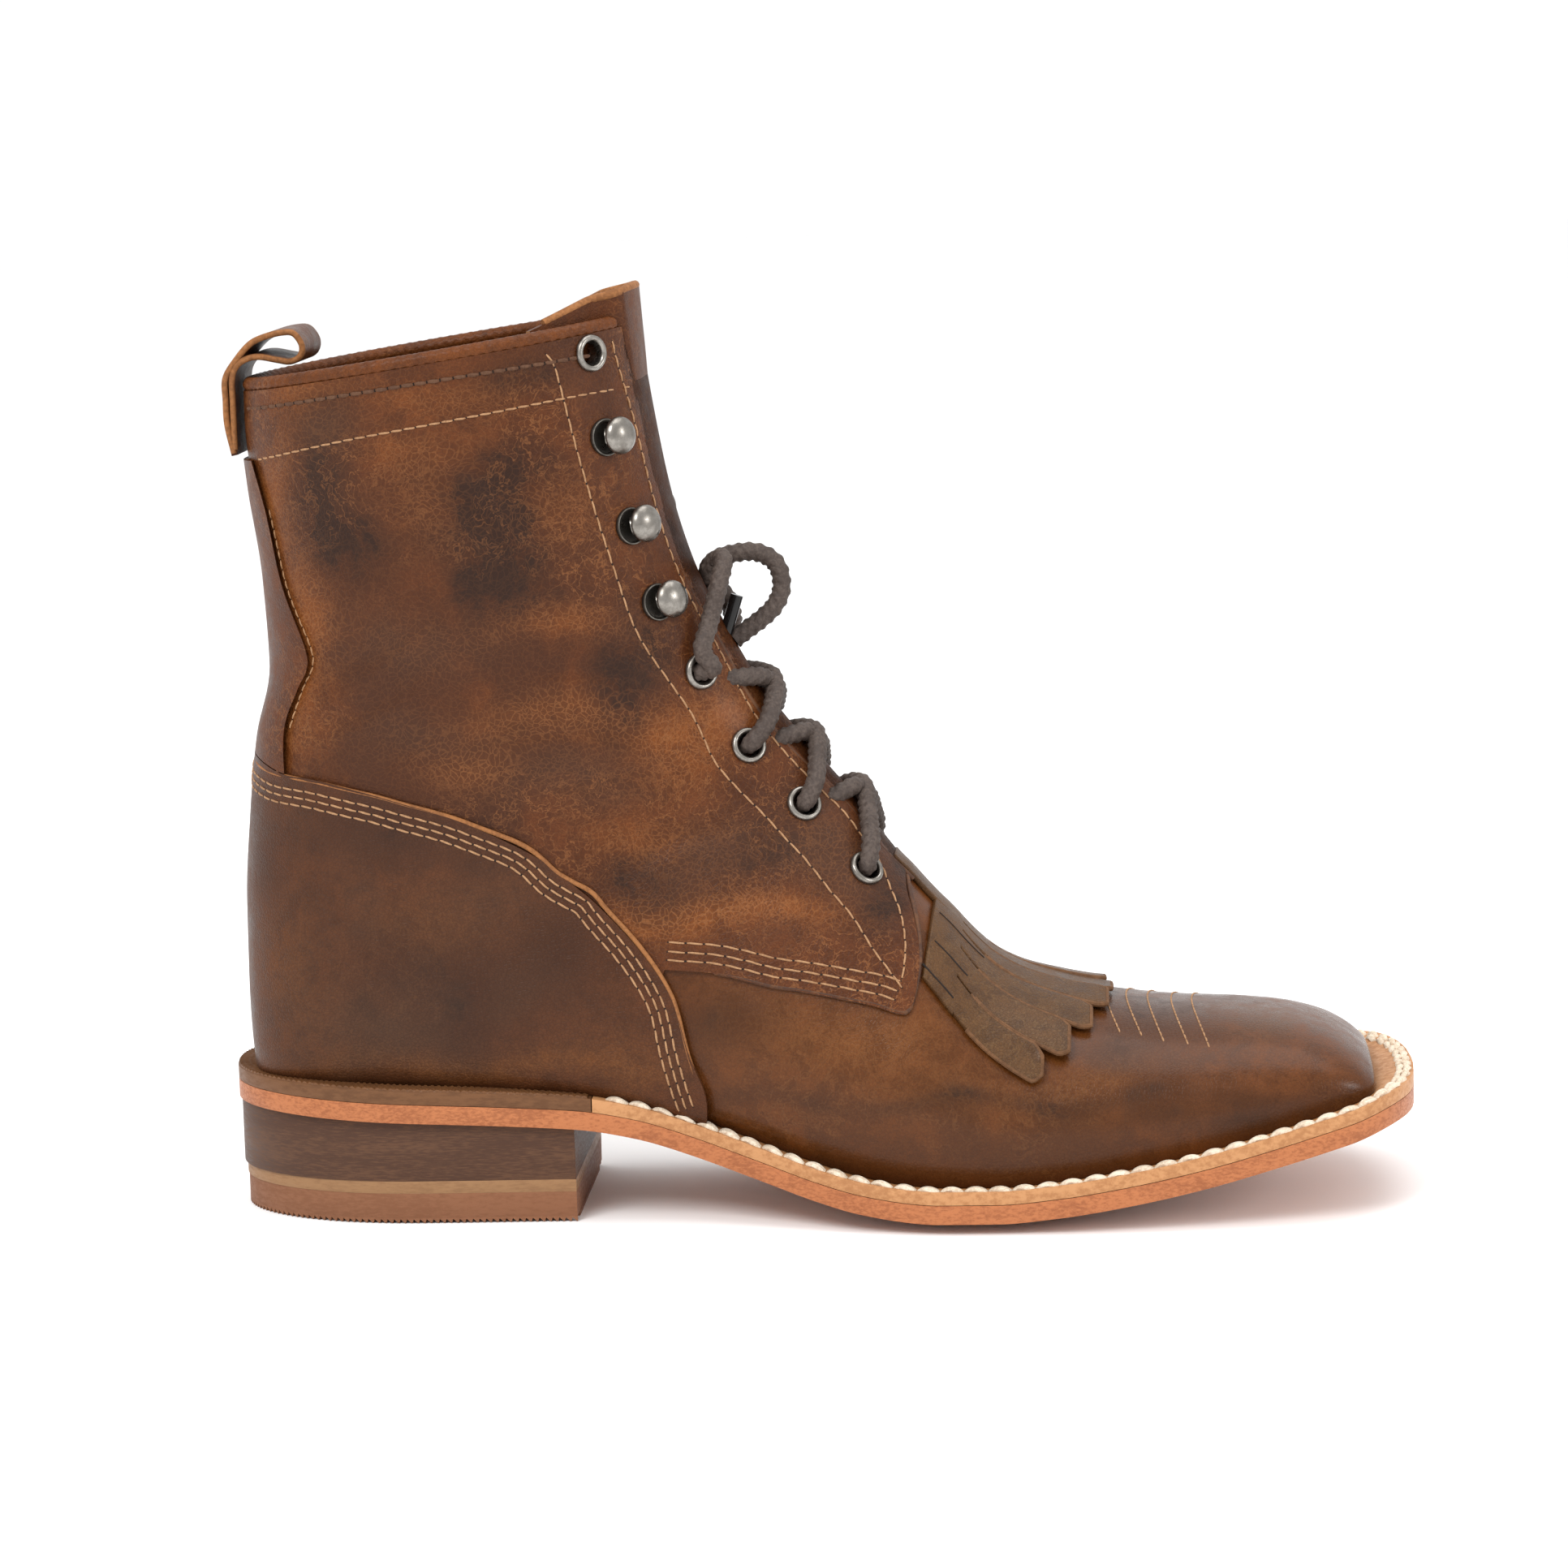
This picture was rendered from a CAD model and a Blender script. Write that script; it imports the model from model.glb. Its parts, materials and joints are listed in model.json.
"""Looks of the lacer boot: high-resolution leather, sole, hardware, stitching and laces over the frame."""
import json
import logging
import math
from dataclasses import dataclass, field
from enum import Enum
from typing import Callable, NamedTuple, Optional, Sequence

import bpy
import numpy as np
from mathutils import Matrix, Vector

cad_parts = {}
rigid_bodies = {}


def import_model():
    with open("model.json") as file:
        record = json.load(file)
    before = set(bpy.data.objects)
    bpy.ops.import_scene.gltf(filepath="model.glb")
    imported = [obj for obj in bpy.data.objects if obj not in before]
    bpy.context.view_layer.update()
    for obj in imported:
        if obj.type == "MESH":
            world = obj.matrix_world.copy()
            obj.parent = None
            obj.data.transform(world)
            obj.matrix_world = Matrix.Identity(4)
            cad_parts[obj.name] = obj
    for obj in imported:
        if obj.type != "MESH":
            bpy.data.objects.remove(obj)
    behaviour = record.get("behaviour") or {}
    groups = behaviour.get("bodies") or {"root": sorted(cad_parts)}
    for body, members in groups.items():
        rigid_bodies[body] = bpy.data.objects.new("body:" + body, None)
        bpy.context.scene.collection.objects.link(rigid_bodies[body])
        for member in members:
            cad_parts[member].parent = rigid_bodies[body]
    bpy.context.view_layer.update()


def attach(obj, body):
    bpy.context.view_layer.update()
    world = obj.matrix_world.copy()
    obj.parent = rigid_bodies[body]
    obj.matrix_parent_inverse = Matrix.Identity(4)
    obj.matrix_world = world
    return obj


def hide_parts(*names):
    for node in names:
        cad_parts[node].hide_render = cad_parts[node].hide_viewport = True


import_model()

LOG = logging.getLogger("boot")
MM = 0.001
Array = np.ndarray

# Sizes of the boot in millimetres, the same as the frame's
BOOT_LENGTH = 305.0
LAST_LENGTH = 291.0
LAST_SHIFT = -3.5
BALL_WIDTH = 90.0
SOLE_WIDTH = 107.0
UPPER_HEIGHT = 196.0
LEATHER = 2.0
QUARTER_STEP = 1.3
OVERLAY = 1.5
FIT = 0.3
SEAT_GAP = 0.45
OUTSOLE = 4.6
WELT = 3.3
INSOLE = 3.0
HEEL_LIFT = 28.5
TOE_SPRING = 24.0
SOLE_CAMBER = 3.2
FLAT_HALF = 18.0
HEEL_LENGTH = 91.0
HEEL_WIDTH = 71.0
TOP_LIFT = 8.0
HEEL_LAYER = 3.25
HEEL_TAPER = 2.2
WELT_OVER_BREAST = 5.0
EYELET_RADIUS = 4.7
EYELET_HOLE = 2.7
COLLAR_AT = 23.3
LACE = 4.6
HEEL_BACK = -BOOT_LENGTH / 2
BREAST = HEEL_BACK + HEEL_LENGTH
FAR = 400.0


class Section(NamedTuple):
    """A section of the last: its two ends, its half widths, where it is widest and how square it is."""

    front: float
    up: float
    back: float
    down: float
    outer: float
    inner: float
    mid: float
    low: float
    high: float


SECTIONS = [
    Section(0.5, 0.012, 0.5, -0.004, 0.2, 0.22, 0.5, 2.2, 2.2),
    Section(0.4975, 0.03, 0.4975, -0.012, 0.285, 0.305, 0.45, 2.8, 2.2),
    Section(0.488, 0.05, 0.49, -0.02, 0.335, 0.36, 0.42, 3.4, 2.3),
    Section(0.468, 0.078, 0.474, -0.024, 0.372, 0.4, 0.38, 3.8, 2.4),
    Section(0.435, 0.108, 0.445, -0.026, 0.402, 0.435, 0.36, 4.0, 2.4),
    Section(0.385, 0.142, 0.392, -0.026, 0.432, 0.468, 0.35, 4.0, 2.3),
    Section(0.315, 0.178, 0.315, -0.026, 0.462, 0.5, 0.35, 4.0, 2.2),
    Section(0.245, 0.215, 0.24, -0.026, 0.484, 0.512, 0.34, 4.0, 2.1),
    Section(0.17, 0.268, 0.15, -0.026, 0.494, 0.503, 0.33, 4.0, 2.0),
    Section(0.125, 0.332, 0.085, -0.026, 0.487, 0.468, 0.32, 3.8, 1.95),
    Section(0.09, 0.36, 0.01, -0.026, 0.458, 0.428, 0.31, 3.6, 1.95),
    Section(0.062, 0.36, -0.085, -0.026, 0.42, 0.4, 0.3, 3.3, 1.95),
    Section(0.038, 0.37, -0.19, -0.026, 0.38, 0.375, 0.31, 3.6, 1.95),
    Section(0.014, 0.4, -0.31, -0.026, 0.362, 0.362, 0.33, 3.6, 2.0),
    Section(-0.006, 0.43, -0.417, -0.026, 0.358, 0.358, 0.33, 3.4, 2.0),
    Section(-0.022, 0.458, -0.484, 0.005, 0.358, 0.358, 0.34, 2.9, 2.0),
    Section(-0.036, 0.487, -0.489, 0.115, 0.36, 0.36, 0.35, 2.5, 2.0),
    Section(-0.049, 0.52, -0.4885, 0.225, 0.364, 0.364, 0.37, 2.3, 2.05),
    Section(-0.063, 0.558, -0.4825, 0.335, 0.377, 0.377, 0.4, 2.25, 2.1),
    Section(-0.08, 0.605, -0.4735, 0.44, 0.393, 0.393, 0.42, 2.2, 2.15),
    Section(-0.097, 0.665, -0.4585, 0.54, 0.412, 0.412, 0.45, 2.2, 2.2),
    Section(-0.113, 0.745, -0.4615, 0.655, 0.43, 0.43, 0.47, 2.2, 2.25),
    Section(-0.125, 0.835, -0.471, 0.77, 0.444, 0.444, 0.48, 2.2, 2.3),
    Section(-0.134, 0.93, -0.4755, 0.862, 0.454, 0.454, 0.49, 2.2, 2.3),
    Section(-0.141, 1.04, -0.475, 0.95, 0.459, 0.459, 0.5, 2.2, 2.3),
]
SOLE_PROFILE = [
    (-0.5, 1.0, 0), (-0.35, 0.95, 0), (-0.2, 0.87, 0), (-0.15, 0.78, 0), (-0.1, 0.61, 0), (-0.05, 0.42, 0),
    (0.0, 0.22, 0), (0.04, 0.09, 0), (0.08, 0.015, 0), (0.1, 0, 0), (0.15, 0, 0), (0.2, 0, 0.055),
    (0.26, 0, 0.175), (0.32, 0, 0.34), (0.38, 0, 0.55), (0.44, 0, 0.78), (0.5, 0, 1.0),
]
SOLE_OUTLINE = [
    (-0.5, 0.345, 0.335), (-0.4, 0.347, 0.337), (-0.3, 0.345, 0.332), (-0.2, 0.34, 0.312), (-0.12, 0.34, 0.285),
    (-0.04, 0.385, 0.305), (0.05, 0.46, 0.4), (0.12, 0.487, 0.475), (0.2, 0.487, 0.508), (0.28, 0.472, 0.505),
    (0.36, 0.447, 0.487), (0.44, 0.415, 0.458), (0.5, 0.395, 0.435),
]
TOE_ROUND = (0.085, 2.5)
HEEL_ROUND = (0.17, 2.15)
MIDDLE = (0.508 - 0.487) * SOLE_WIDTH / 2

# Seams on the side of the last: place along the sections, share of the way from back end to front end
COUNTER_LINE = [
    (19.0, -0.08), (18.85, -0.024), (18.5, 0.073), (18.31, 0.149), (17.96, 0.245), (17.56, 0.331), (16.79, 0.453),
    (15.57, 0.569), (14.4, 0.594), (13.69, 0.567), (12.8, 0.493), (12.12, 0.39), (11.56, 0.245), (11.2, 0.144),
    (11.0, 0.0),
]
QUARTER_LINE = [
    (12.4, 0.458), (11.88, 0.478), (11.36, 0.502), (10.83, 0.549), (10.07, 0.614), (9.6, 0.643), (9.4, 0.66),
    (9.3, 0.7), (9.28, 0.76), (9.31, 0.83), (9.42, 0.89), (9.63, 0.94), (9.9, 0.985), (10.3, 1.1),
]
STAY_LINE = [
    (22.37, -0.05), (22.37, 0.019), (21.74, 0.041), (20.93, 0.053), (20.16, 0.103), (19.88, 0.105), (19.62, 0.085),
    (19.07, 0.07), (18.2, 0.085), (17.9, -0.05),
]
THROAT = [(9.3, 0.012), (9.8, 0.06), (10.8, 0.085), (14.5, 0.085), (17.5, 0.09), (20, 0.125), (22, 0.16),
        (24.4, 0.21)]
EYELETS = [(10.77, 0.915), (12.56, 0.922), (14.63, 0.935), (17.45, 0.93), (23.12, 0.901)]
HOOKS = [(19.39, 0.926), (20.74, 0.925), (22.01, 0.916)]


def column(rows: Sequence[Sequence[float]], index: int, at: Array) -> Array:
    """Interpolates a column of a table smoothly and without overshoot.

    Args:
        rows: The table, its first column rising.
        index: The column to read.
        at: Where to read it.

    Returns:
        The values there.
    """
    x = np.array([r[0] for r in rows], float)
    y = np.array([r[index] for r in rows], float)
    span = np.diff(x)
    rise = np.diff(y) / span
    slope = np.zeros(len(y))
    for k in range(1, len(y) - 1):
        if rise[k - 1] * rise[k] > 0:
            slope[k] = 2 * rise[k - 1] * rise[k] / (rise[k - 1] + rise[k])
    at = np.clip(np.asarray(at, float), x[0], x[-1])
    i = np.clip(np.searchsorted(x, at, side="right") - 1, 0, len(x) - 2)
    t = (at - x[i]) / span[i]
    ease = t * t * (3 - 2 * t)
    return y[i] * (1 - ease) + y[i + 1] * ease + span[i] * (slope[i] * t * (1 - t) ** 2 - slope[i + 1] * t * t * (1 - t))


def smoothstep(value: Array, low: float, high: float) -> Array:
    """Returns the smooth step of value from 0 at low to 1 at high."""
    t = np.clip((np.asarray(value, float) - low) / (high - low), 0, 1)
    return t * t * (3 - 2 * t)


class Sole:
    """Heights and outline of the sole, in millimetres."""

    @staticmethod
    def underside(x: Array) -> Array:
        """Returns the height of the sole's underside at x."""
        at = np.asarray(x, float) / BOOT_LENGTH
        return column(SOLE_PROFILE, 1, at) * HEEL_LIFT + column(SOLE_PROFILE, 2, at) * TOE_SPRING

    @staticmethod
    def camber(x: Array, y: Array) -> Array:
        """Returns the rise of the edge above the middle.

        Args:
            x: places along the boot.
            y: places across it.

        Returns:
            The rise, in millimetres.
        """
        share = smoothstep(np.asarray(x) / BOOT_LENGTH, -0.15, 0.08)
        side = np.maximum(0, np.abs(y) - FLAT_HALF) / (SOLE_WIDTH / 2 - FLAT_HALF)
        return SOLE_CAMBER * share * side * side

    @classmethod
    def top(cls, x: Array, y: Array = 0.0) -> Array:
        """Returns the height of the welt's top."""
        return cls.underside(x) + cls.camber(x, y) + OUTSOLE + SEAT_GAP + WELT

    @staticmethod
    def closing(x: Array, start: float, end: float) -> Array:
        """Returns how far the outline has closed near an end, 1 where it is at its full width.

        Args:
            x: places along the boot.
            start: where the outline begins.
            end: where it ends.

        Returns:
            Shares from 0 to 1.
        """
        toe = np.clip(1 - (end - x) / (TOE_ROUND[0] * BOOT_LENGTH), 0, 1)
        heel = np.clip(1 - (x - start) / (HEEL_ROUND[0] * BOOT_LENGTH), 0, 1)
        return (1 - toe ** TOE_ROUND[1]) ** (1 / TOE_ROUND[1]) * (1 - heel ** HEEL_ROUND[1]) ** (1 / HEEL_ROUND[1])


class Last:
    """The last that the upper is drawn over, as a function of place, turn and offset."""

    ROWS = [(float(i), *row) for i, row in enumerate(SECTIONS)]

    @classmethod
    def point(cls, at: Array, turn: Array, offset: Array = 0.0) -> Array:
        """Places points on the last.

        Args:
            at: Place along the sections, from the toe over the instep to the collar.
            turn: Angle round the section from its back end.
            offset: Growth outwards in millimetres.

        Returns:
            Points in millimetres, before the frame's sideways shift.
        """
        at, turn, offset = np.broadcast_arrays(np.asarray(at, float), np.asarray(turn, float),
                np.asarray(offset, float))
        front, up, back, down, outer, inner, mid, low, high = (column(cls.ROWS, i + 1, at) for i in range(9))
        back_x = back * LAST_LENGTH + LAST_SHIFT
        front_x = front * LAST_LENGTH + LAST_SHIFT
        lift = Sole.top(back_x)
        back_z = lift + down * UPPER_HEIGHT
        axis_x = front_x - back_x
        axis_z = lift + up * UPPER_HEIGHT - back_z
        length = np.hypot(axis_x, axis_z)
        across, upward = np.sin(turn), -np.cos(turn)
        power = np.where(upward < 0, low, high)
        reach = np.where(upward < 0, mid, 1 - mid) * length + offset
        width = np.where(across < 0, outer, inner) * BALL_WIDTH + offset
        along = mid * length + np.sign(upward) * reach * np.abs(upward) ** (2 / power)
        x = back_x + axis_x / length * along + offset * np.maximum(0, 4 - at) / 4
        y = np.sign(across) * width * np.abs(across) ** (2 / power)
        return np.stack([x, y, back_z + axis_z / length * along], -1)

    @classmethod
    def turn_at(cls, at: Array, share: Array, side: float) -> Array:
        """Returns the turn where a section reaches a share of the way from its back end to its front end.

        Args:
            at: places along the last.
            share: share of the way to the front.
            side: which side of the boot.

        Returns:
            The turns.
        """
        mid = column(cls.ROWS, 7, at)
        share = np.asarray(share, float)
        power = np.where(share < mid, column(cls.ROWS, 8, at), column(cls.ROWS, 9, at))
        way = np.clip(np.where(share < mid, (mid - share) / mid, (share - mid) / (1 - mid)), 0, 1)
        return side * np.arccos(-np.sign(share - mid) * way ** (power / 2))

    @classmethod
    def front_turn(cls, at: Array, y: Array, offset: float = 0.0) -> Array:
        """Returns the turn where a section's front is y out from the middle.

        Args:
            at: places along the last.
            y: distance from the middle.
            offset: distance off the skin.

        Returns:
            The turns.
        """
        y = np.asarray(y, float)
        width = np.where(y < 0, column(cls.ROWS, 5, at), column(cls.ROWS, 6, at)) * BALL_WIDTH + offset
        power = column(cls.ROWS, 9, at)
        return math.pi - np.sign(y) * np.arcsin(np.clip(np.abs(y) / width, 0, 1) ** (power / 2))

    @classmethod
    def skin(cls, at: Array, turn: Array, offset: Array = 0.0) -> tuple[Array, Array, Array]:
        """Returns places on the skin, their outward normals and the directions up the sections.

        Args:
            at: places along the last.
            turn: turns round it.
            offset: distance off the skin.

        Returns:
            The places, normals and upward directions.
        """
        step = 0.02
        place = cls.point(at, turn, offset)
        along = cls.point(at + step, turn, offset) - cls.point(at - step, turn, offset)
        along /= np.linalg.norm(along, axis=-1, keepdims=True)
        round_ = cls.point(at, turn + step, offset) - cls.point(at, turn - step, offset)
        round_ /= np.linalg.norm(round_, axis=-1, keepdims=True)
        normal = np.cross(along, round_)
        normal /= np.linalg.norm(normal, axis=-1, keepdims=True)
        outward = place - cls.point(at, turn, np.asarray(offset) - 1)
        normal *= np.sign((normal * outward).sum(-1, keepdims=True))
        return place, normal, along

    @classmethod
    def side_line(cls, rows: Sequence[tuple[float, float]]) -> Array:
        """Returns a seam's points in the side view, as x and z.

        Args:
            rows: the seam, as place and share.

        Returns:
            The points, as x and z.
        """
        at = np.array([r[0] for r in rows])
        share = np.array([r[1] for r in rows])[:, None]
        back, front = cls.point(at, 0.0), cls.point(at, math.pi)
        return (back + (front - back) * share)[:, [0, 2]]


def throat_half(at: Array, least: float = 0.0) -> Array:
    """Returns half the gap between the facings in millimetres."""
    return np.maximum(least, column(THROAT, 1, at) * BALL_WIDTH)


def resample(points: Array, step: float) -> Array:
    """Resamples a polyline smoothly at an even step.

    Args:
        points: The line's points.
        step: The distance between the new points.

    Returns:
        The new points, through a Catmull-Rom curve of the old ones.
    """
    p = np.asarray(points, float)
    ends = np.concatenate([[2 * p[0] - p[1]], p, [2 * p[-1] - p[-2]]])
    dense = []
    for a, b, c, d in zip(ends, ends[1:], ends[2:], ends[3:]):
        t = np.linspace(0, 1, 24, endpoint=False)[:, None]
        dense.append(0.5 * (2 * b + (c - a) * t + (2 * a - 5 * b + 4 * c - d) * t**2 + (3 * b - a - 3 * c + d) * t**3))
    dense = np.concatenate([*dense, p[-1:]])
    length = np.concatenate([[0], np.cumsum(np.linalg.norm(np.diff(dense, axis=0), axis=1))])
    count = max(2, int(round(length[-1] / step)) + 1)
    at = np.linspace(0, length[-1], count)
    return np.stack([np.interp(at, length, dense[:, k]) for k in range(p.shape[1])], 1)


class Modeller:
    """Makes meshes with Blender's operators."""

    @staticmethod
    def clear_selection() -> None:
        """Deselects everything."""
        if bpy.context.object and bpy.context.object.mode != "OBJECT":
            bpy.ops.object.mode_set(mode="OBJECT")
        bpy.ops.object.select_all(action="DESELECT")

    @classmethod
    def grid(cls, name: str, points: Array, wrap: bool = False, caps: bool = False) -> bpy.types.Object:
        """Shapes a grid primitive into a surface.

        Args:
            name: The object's name.
            points: Rows by columns by three, in millimetres before the sideways shift.
            wrap: Whether the first and last column meet.
            caps: Whether the ends are closed.

        Returns:
            The new object, its normals facing out when it is closed.
        """
        points = np.asarray(points, float)
        if wrap:
            points = np.concatenate([points, points[:, :1]], 1)
        rows, cols = points.shape[:2]
        cls.clear_selection()
        bpy.ops.mesh.primitive_grid_add(x_subdivisions=cols - 1, y_subdivisions=rows - 1, size=1)
        obj = bpy.context.object
        obj.name = obj.data.name = name
        place = points.reshape(-1, 3) - np.array([0, MIDDLE, 0])
        obj.data.vertices.foreach_set("co", (place * MM).astype(np.float32).ravel())
        obj.location = (0, 0, 0)
        bpy.ops.object.mode_set(mode="EDIT")
        bpy.ops.mesh.select_all(action="SELECT")
        if wrap:
            bpy.ops.mesh.remove_doubles(threshold=1e-7)
        if caps:
            bpy.ops.mesh.select_all(action="DESELECT")
            bpy.ops.mesh.select_mode(type="EDGE")
            bpy.ops.mesh.select_non_manifold()
            bpy.ops.mesh.fill_holes(sides=0)
        if wrap or caps:
            bpy.ops.mesh.select_all(action="SELECT")
            bpy.ops.mesh.normals_make_consistent(inside=False)
        bpy.ops.mesh.select_all(action="DESELECT")
        bpy.ops.object.mode_set(mode="OBJECT")
        obj.data.update()
        return obj

    @classmethod
    def prism(cls, name: str, outline: Array) -> bpy.types.Object:
        """Makes a prism right across the boot from an outline in x and z.

        Args:
            name: the piece's name.
            outline: points in x and z.

        Returns:
            The prism.
        """
        cls.clear_selection()
        bpy.ops.mesh.primitive_circle_add(vertices=len(outline), radius=1, fill_type="NGON")
        obj = bpy.context.object
        obj.name = name
        place = np.stack([outline[:, 0], np.full(len(outline), -FAR / 2), outline[:, 1]], 1) * MM
        obj.data.vertices.foreach_set("co", place.astype(np.float32).ravel())
        bpy.ops.object.mode_set(mode="EDIT")
        bpy.ops.mesh.select_all(action="SELECT")
        bpy.ops.mesh.extrude_region_move(TRANSFORM_OT_translate={"value": (0, FAR * MM, 0)})
        bpy.ops.mesh.select_all(action="SELECT")
        bpy.ops.mesh.normals_make_consistent(inside=False)
        bpy.ops.object.mode_set(mode="OBJECT")
        return obj

    @classmethod
    def cut(cls, target: bpy.types.Object, cutter: bpy.types.Object, how: str = "DIFFERENCE",
            keep: bool = False) -> None:
        """Applies a boolean to target.

        Args:
            target: The piece that changes.
            cutter: The other solid.
            how: DIFFERENCE, INTERSECT or UNION.
            keep: Whether the cutter is kept for more cuts.
        """
        cls.clear_selection()
        bpy.context.view_layer.objects.active = target
        target.select_set(True)
        modifier = target.modifiers.new("cut", "BOOLEAN")
        modifier.operation = how
        modifier.solver = "MANIFOLD"
        modifier.object = cutter
        bpy.ops.object.modifier_apply(modifier=modifier.name)
        if not keep:
            cls.remove(cutter)

    @staticmethod
    def remove(obj: bpy.types.Object) -> None:
        """Removes an object and its mesh."""
        mesh = obj.data
        bpy.data.objects.remove(obj)
        bpy.data.meshes.remove(mesh)

    @classmethod
    def modifier(cls, obj: bpy.types.Object, kind: str, **values: object) -> None:
        """Adds a modifier with these values and applies it."""
        cls.clear_selection()
        bpy.context.view_layer.objects.active = obj
        obj.select_set(True)
        made = obj.modifiers.new(kind.lower(), kind)
        for key, value in values.items():
            setattr(made, key, value)
        bpy.ops.object.modifier_apply(modifier=made.name)

    @classmethod
    def join(cls, name: str, objects: Sequence[bpy.types.Object]) -> bpy.types.Object:
        """Joins objects into one piece of that name.

        Args:
            name: name of the piece.
            objects: the objects to join.

        Returns:
            The joined piece.
        """
        cls.clear_selection()
        for each in objects:
            each.select_set(True)
        bpy.context.view_layer.objects.active = objects[0]
        if len(objects) > 1:
            bpy.ops.object.join()
        objects[0].name = objects[0].data.name = name
        return objects[0]

    @classmethod
    def flip(cls, obj: bpy.types.Object) -> None:
        """Turns an open surface's faces round."""
        cls.clear_selection()
        bpy.context.view_layer.objects.active = obj
        obj.select_set(True)
        bpy.ops.object.mode_set(mode="EDIT")
        bpy.ops.mesh.select_all(action="SELECT")
        bpy.ops.mesh.flip_normals()
        bpy.ops.object.mode_set(mode="OBJECT")

    @classmethod
    def smooth(cls, obj: bpy.types.Object, degrees: float = 40) -> None:
        """Shades obj smooth except over edges sharper than the angle."""
        cls.clear_selection()
        bpy.context.view_layer.objects.active = obj
        obj.select_set(True)
        bpy.ops.object.shade_smooth_by_angle(angle=math.radians(degrees))

    @classmethod
    def tube(
        cls,
        name: str,
        path: Array,
        radius: Array | float,
        sides: int = 12,
        normals: Optional[Array] = None,
        flat: Array | float = 1.0,
        lobes: Optional[Callable[[Array, Array], Array]] = None,
    ) -> bpy.types.Object:
        """Makes a closed tube along a path.

        Args:
            name: The object's name.
            path: Points in millimetres.
            radius: Radius at each point, or one for all.
            sides: Points round the tube.
            normals: The direction of the tube's thin side at each point, if it isn't round.
            flat: Thickness over width.
            lobes: Factor on the radius from the distance along the path and the turn round it.

        Returns:
            The tube.
        """
        path = np.asarray(path, float)
        ahead = np.gradient(path, axis=0)
        ahead /= np.linalg.norm(ahead, axis=1, keepdims=True)
        if normals is None:
            normals = np.zeros_like(path)
            seed = np.array([0.0, 0.0, 1.0]) if abs(ahead[0, 2]) < 0.9 else np.array([0.0, 1.0, 0.0])
            for i, way in enumerate(ahead):
                seed = seed - way * (seed @ way)
                seed = seed / np.linalg.norm(seed)
                normals[i] = seed
        else:
            normals = normals - ahead * (normals * ahead).sum(1, keepdims=True)
            normals /= np.linalg.norm(normals, axis=1, keepdims=True)
        aside = np.cross(ahead, normals)
        turn = np.linspace(0, 2 * math.pi, sides, endpoint=False)
        length = np.concatenate([[0], np.cumsum(np.linalg.norm(np.diff(path, axis=0), axis=1))])
        r = np.broadcast_to(radius, len(path))[:, None] * np.ones(sides)
        if lobes is not None:
            r = r * lobes(length[:, None], turn[None, :])
        thin = np.broadcast_to(flat, len(path))[:, None]
        ring = (
            path[:, None]
            + aside[:, None] * (r * np.cos(turn))[..., None]
            + normals[:, None] * (r * thin * np.sin(turn))[..., None]
        )
        return cls.grid(name, ring, wrap=True, caps=True)


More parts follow.
